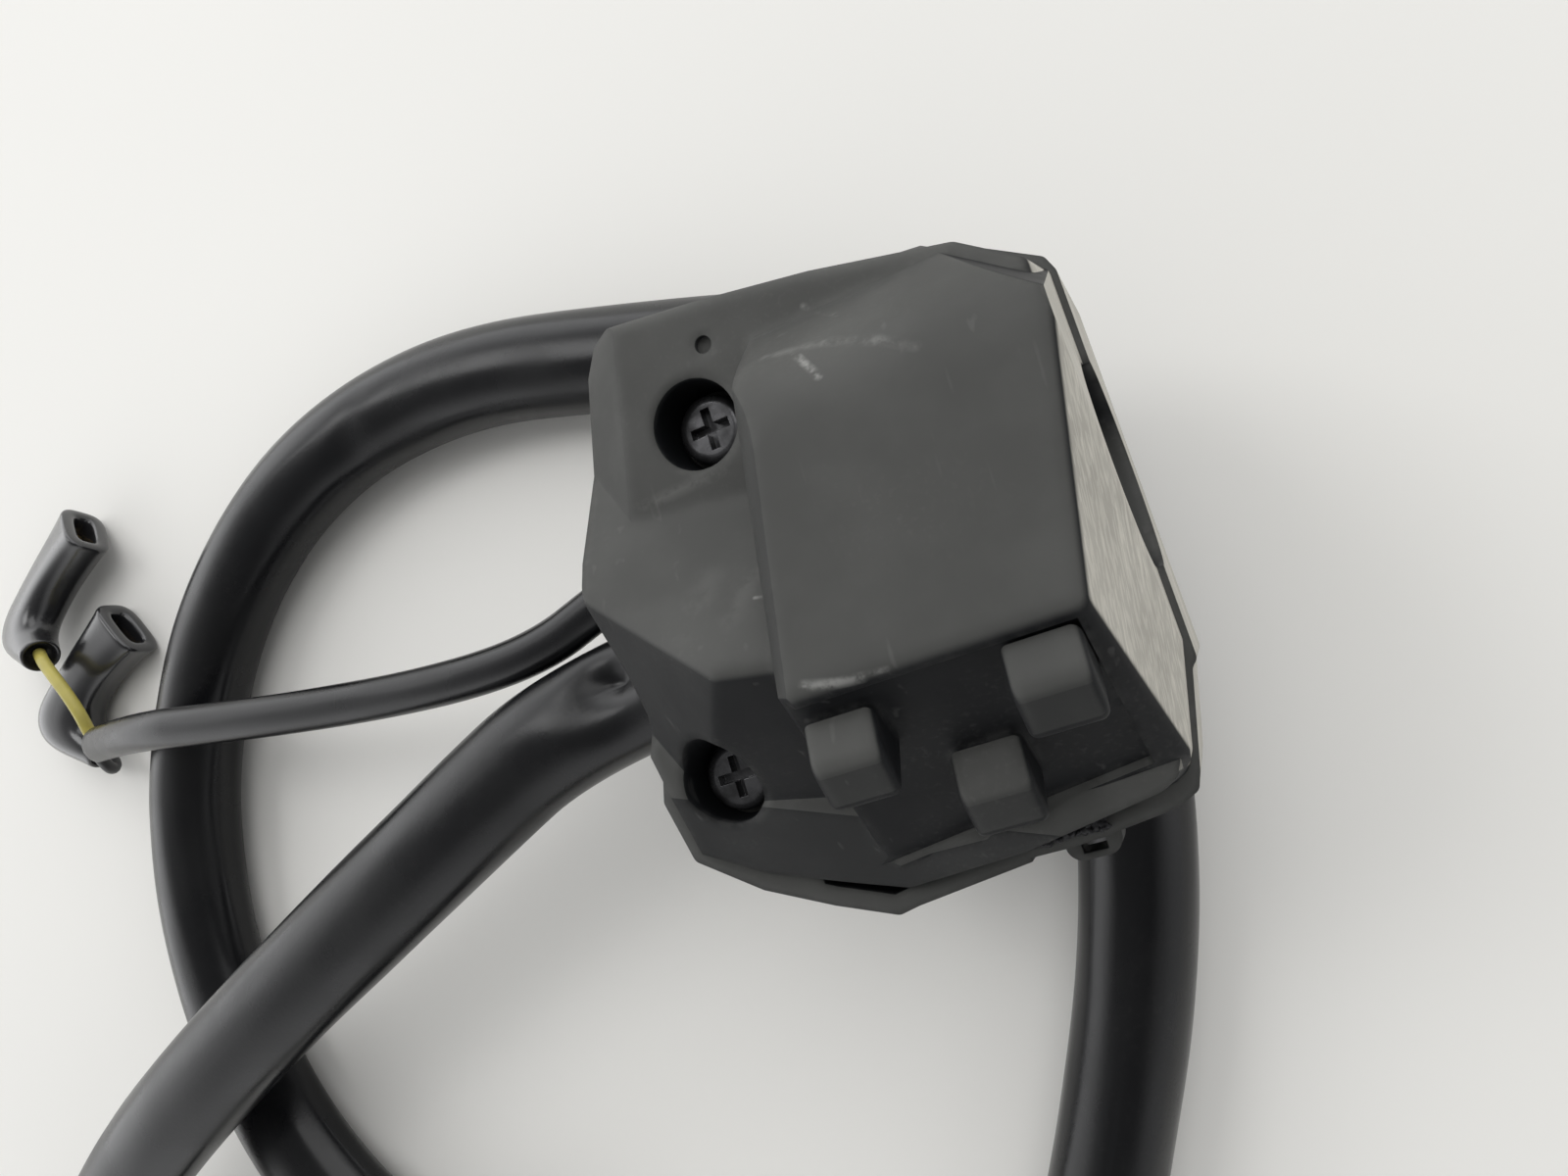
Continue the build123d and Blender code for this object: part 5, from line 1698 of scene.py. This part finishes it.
@dataclass
class SwitchCluster:
    """The cluster: CAD nodes dressed in their finishes, and the soft pieces that stand for theirs."""

    frame: dict
    finishes: Finishes
    loom: Loom = Loom()
    lead: ClutchLead = ClutchLead()
    boot_a: FlagBoot = FlagBoot("boot_yellow_wire", (-0.189, 0.0525, -0.0439), 31.0, -24.0)
    boot_b: FlagBoot = FlagBoot("boot_black_wire", (-0.1875, 0.032, -0.04575), 28.0, 0.0)
    wire_tree: NodeTree = field(init=False)
    winding_tree: NodeTree = field(init=False)

    def build(self) -> None:
        """Builds every piece in order."""
        self.wire_tree = make_wire_tree()
        self.winding_tree = make_winding_tree()
        self.dress_nodes()
        self.build_loom()
        self.build_lead()
        self.build_inner_wires()
        self.build_springs()
        self.build_torn_edge()

    def dress_nodes(self) -> None:
        """Gives each CAD node the finish of its slot in the record."""
        for part in self.frame["record"]["subparts"]:
            node = self.frame["nodes"][part["node"]]
            node.data.materials.clear()
            node.data.materials.append(self.finishes[Slot(part["material_slot"])])
            LOG.info("dressed %s", part["node"])

    def keep(self, piece: Object, slot: Slot, *nodes: str, body: str = "base") -> Object:
        """Fixes a piece to its body.

        Args:
            piece: the finished piece.
            slot: its finish in the record; not used.
            nodes: the CAD nodes that it stands for.
            body: the CAD body it moves with.

        Returns:
            The piece.
        """
        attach(piece, body)
        if nodes:
            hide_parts(*nodes)
        LOG.info("built %s", piece.name)
        return piece

    def wires(
        self, name: str, routes: Sequence[Sequence[Point]], radius: float, slot: Slot, node: str
    ) -> Object:
        """Round wires along routes, as one piece.

        Args:
            name: the piece's name.
            routes: control points of each wire.
            radius: the wires' radius.
            slot: their finish.
            node: the CAD node that they stand for.

        Returns:
            The piece.
        """
        host = nurbs_curve(name + "_line", routes[0], WIRE_STEPS)
        for route in routes[1:]:
            add_spline(host.data, route)
        piece = grow_tree(name, self.wire_tree, self.finishes[slot], host, RADIUS=radius)
        return self.keep(piece, slot, node)

    def build_loom(self) -> None:
        """The main loom and what hangs on its far end."""
        loom = self.loom
        sleeve = SoftSleeve("main_loom", loom.points, loom.diameter, loom.stations, LOOM_DENTS)
        piece = self.keep(sleeve.build(self.finishes[Slot.SLEEVE]), Slot.SLEEVE, "loom_sleeve")
        tape = self.keep(loom.build_tape(self.finishes[Slot.SLEEVE]), Slot.SLEEVE, "loom_end_tape")
        routes = loom.wire_routes()
        wires = self.wires("loom_end_wires", routes, loom.wire_radius, Slot.BLACK, "loom_wires")

    def build_lead(self) -> None:
        """The clutch switch lead, its wires and its boots."""
        lead = self.lead
        sleeve = SoftSleeve(
            "clutch_lead",
            lead.points,
            lead.diameter,
            lead.stations,
            around=32,
            ripple=0.00008,
            rests=False,
        )
        piece = self.keep(sleeve.build(self.finishes[Slot.SLEEVE]), Slot.SLEEVE, "clutch_lead_sleeve")
        radius = lead.wire_radius
        yellow = self.wires(
            "yellow_wire", [lead.yellow_points], radius, Slot.YELLOW, "clutch_wire_yellow"
        )
        black = self.wires("black_wire", [lead.black_points], radius, Slot.BLACK, "clutch_wire_black")
        boot_a = self.keep(self.boot_a.build(self.finishes[Slot.BOOT]), Slot.BOOT, "terminal_boot_a")
        boot_b = self.keep(self.boot_b.build(self.finishes[Slot.BOOT]), Slot.BOOT, "terminal_boot_b")

    def build_inner_wires(self) -> None:
        """Three short wires from the loom to the switch bases."""
        routes = [[tuple(MM * c for c in p) for p in route] for route in INNER_ROUTES]
        self.wires("switch_wires", routes, INNER_WIRE_RADIUS, Slot.BLACK, "inner_wires")

    def build_torn_edge(self) -> None:
        """Crumbs of plastic along the torn stretch of the lower rim."""
        edge = TORN_EDGE
        piece = grow_tree(
            "torn_edge",
            make_crumb_tree(),
            self.finishes[Slot.CONTROL],
            COUNT=edge.count,
            SIZE=edge.size,
            SPREAD=edge.spread,
        )
        turn = Matrix.Rotation(math.radians(edge.heading), 4, "Z")
        piece.data.transform(Matrix.Translation(edge.start) @ turn)
        self.keep(piece, Slot.CONTROL)

    def build_springs(self) -> None:
        """The two coil springs."""
        for spring in SPRINGS:
            low, high = spring.span
            piece = grow_tree(
                spring.name,
                self.winding_tree,
                self.finishes[Slot.STEEL],
                RADIUS=spring.radius,
                WIRE=spring.wire,
                TURNS=spring.turns,
                HEIGHT=high - low - 2 * spring.wire,
            )
            piece.data.transform(Matrix.Translation((*spring.centre, low + spring.wire)))
            self.keep(piece, Slot.STEEL, spring.node, body=spring.body)
            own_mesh(piece)


def main() -> None:
    """Builds the studio and the cluster in order."""
    logging.basicConfig(level=logging.INFO, format="%(name)s: %(message)s")
    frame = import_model()
    Studio().build()
    effects = SurfaceEffects()
    SwitchCluster(frame, Finishes(effects)).build()


if __name__ == "__main__":
    main()
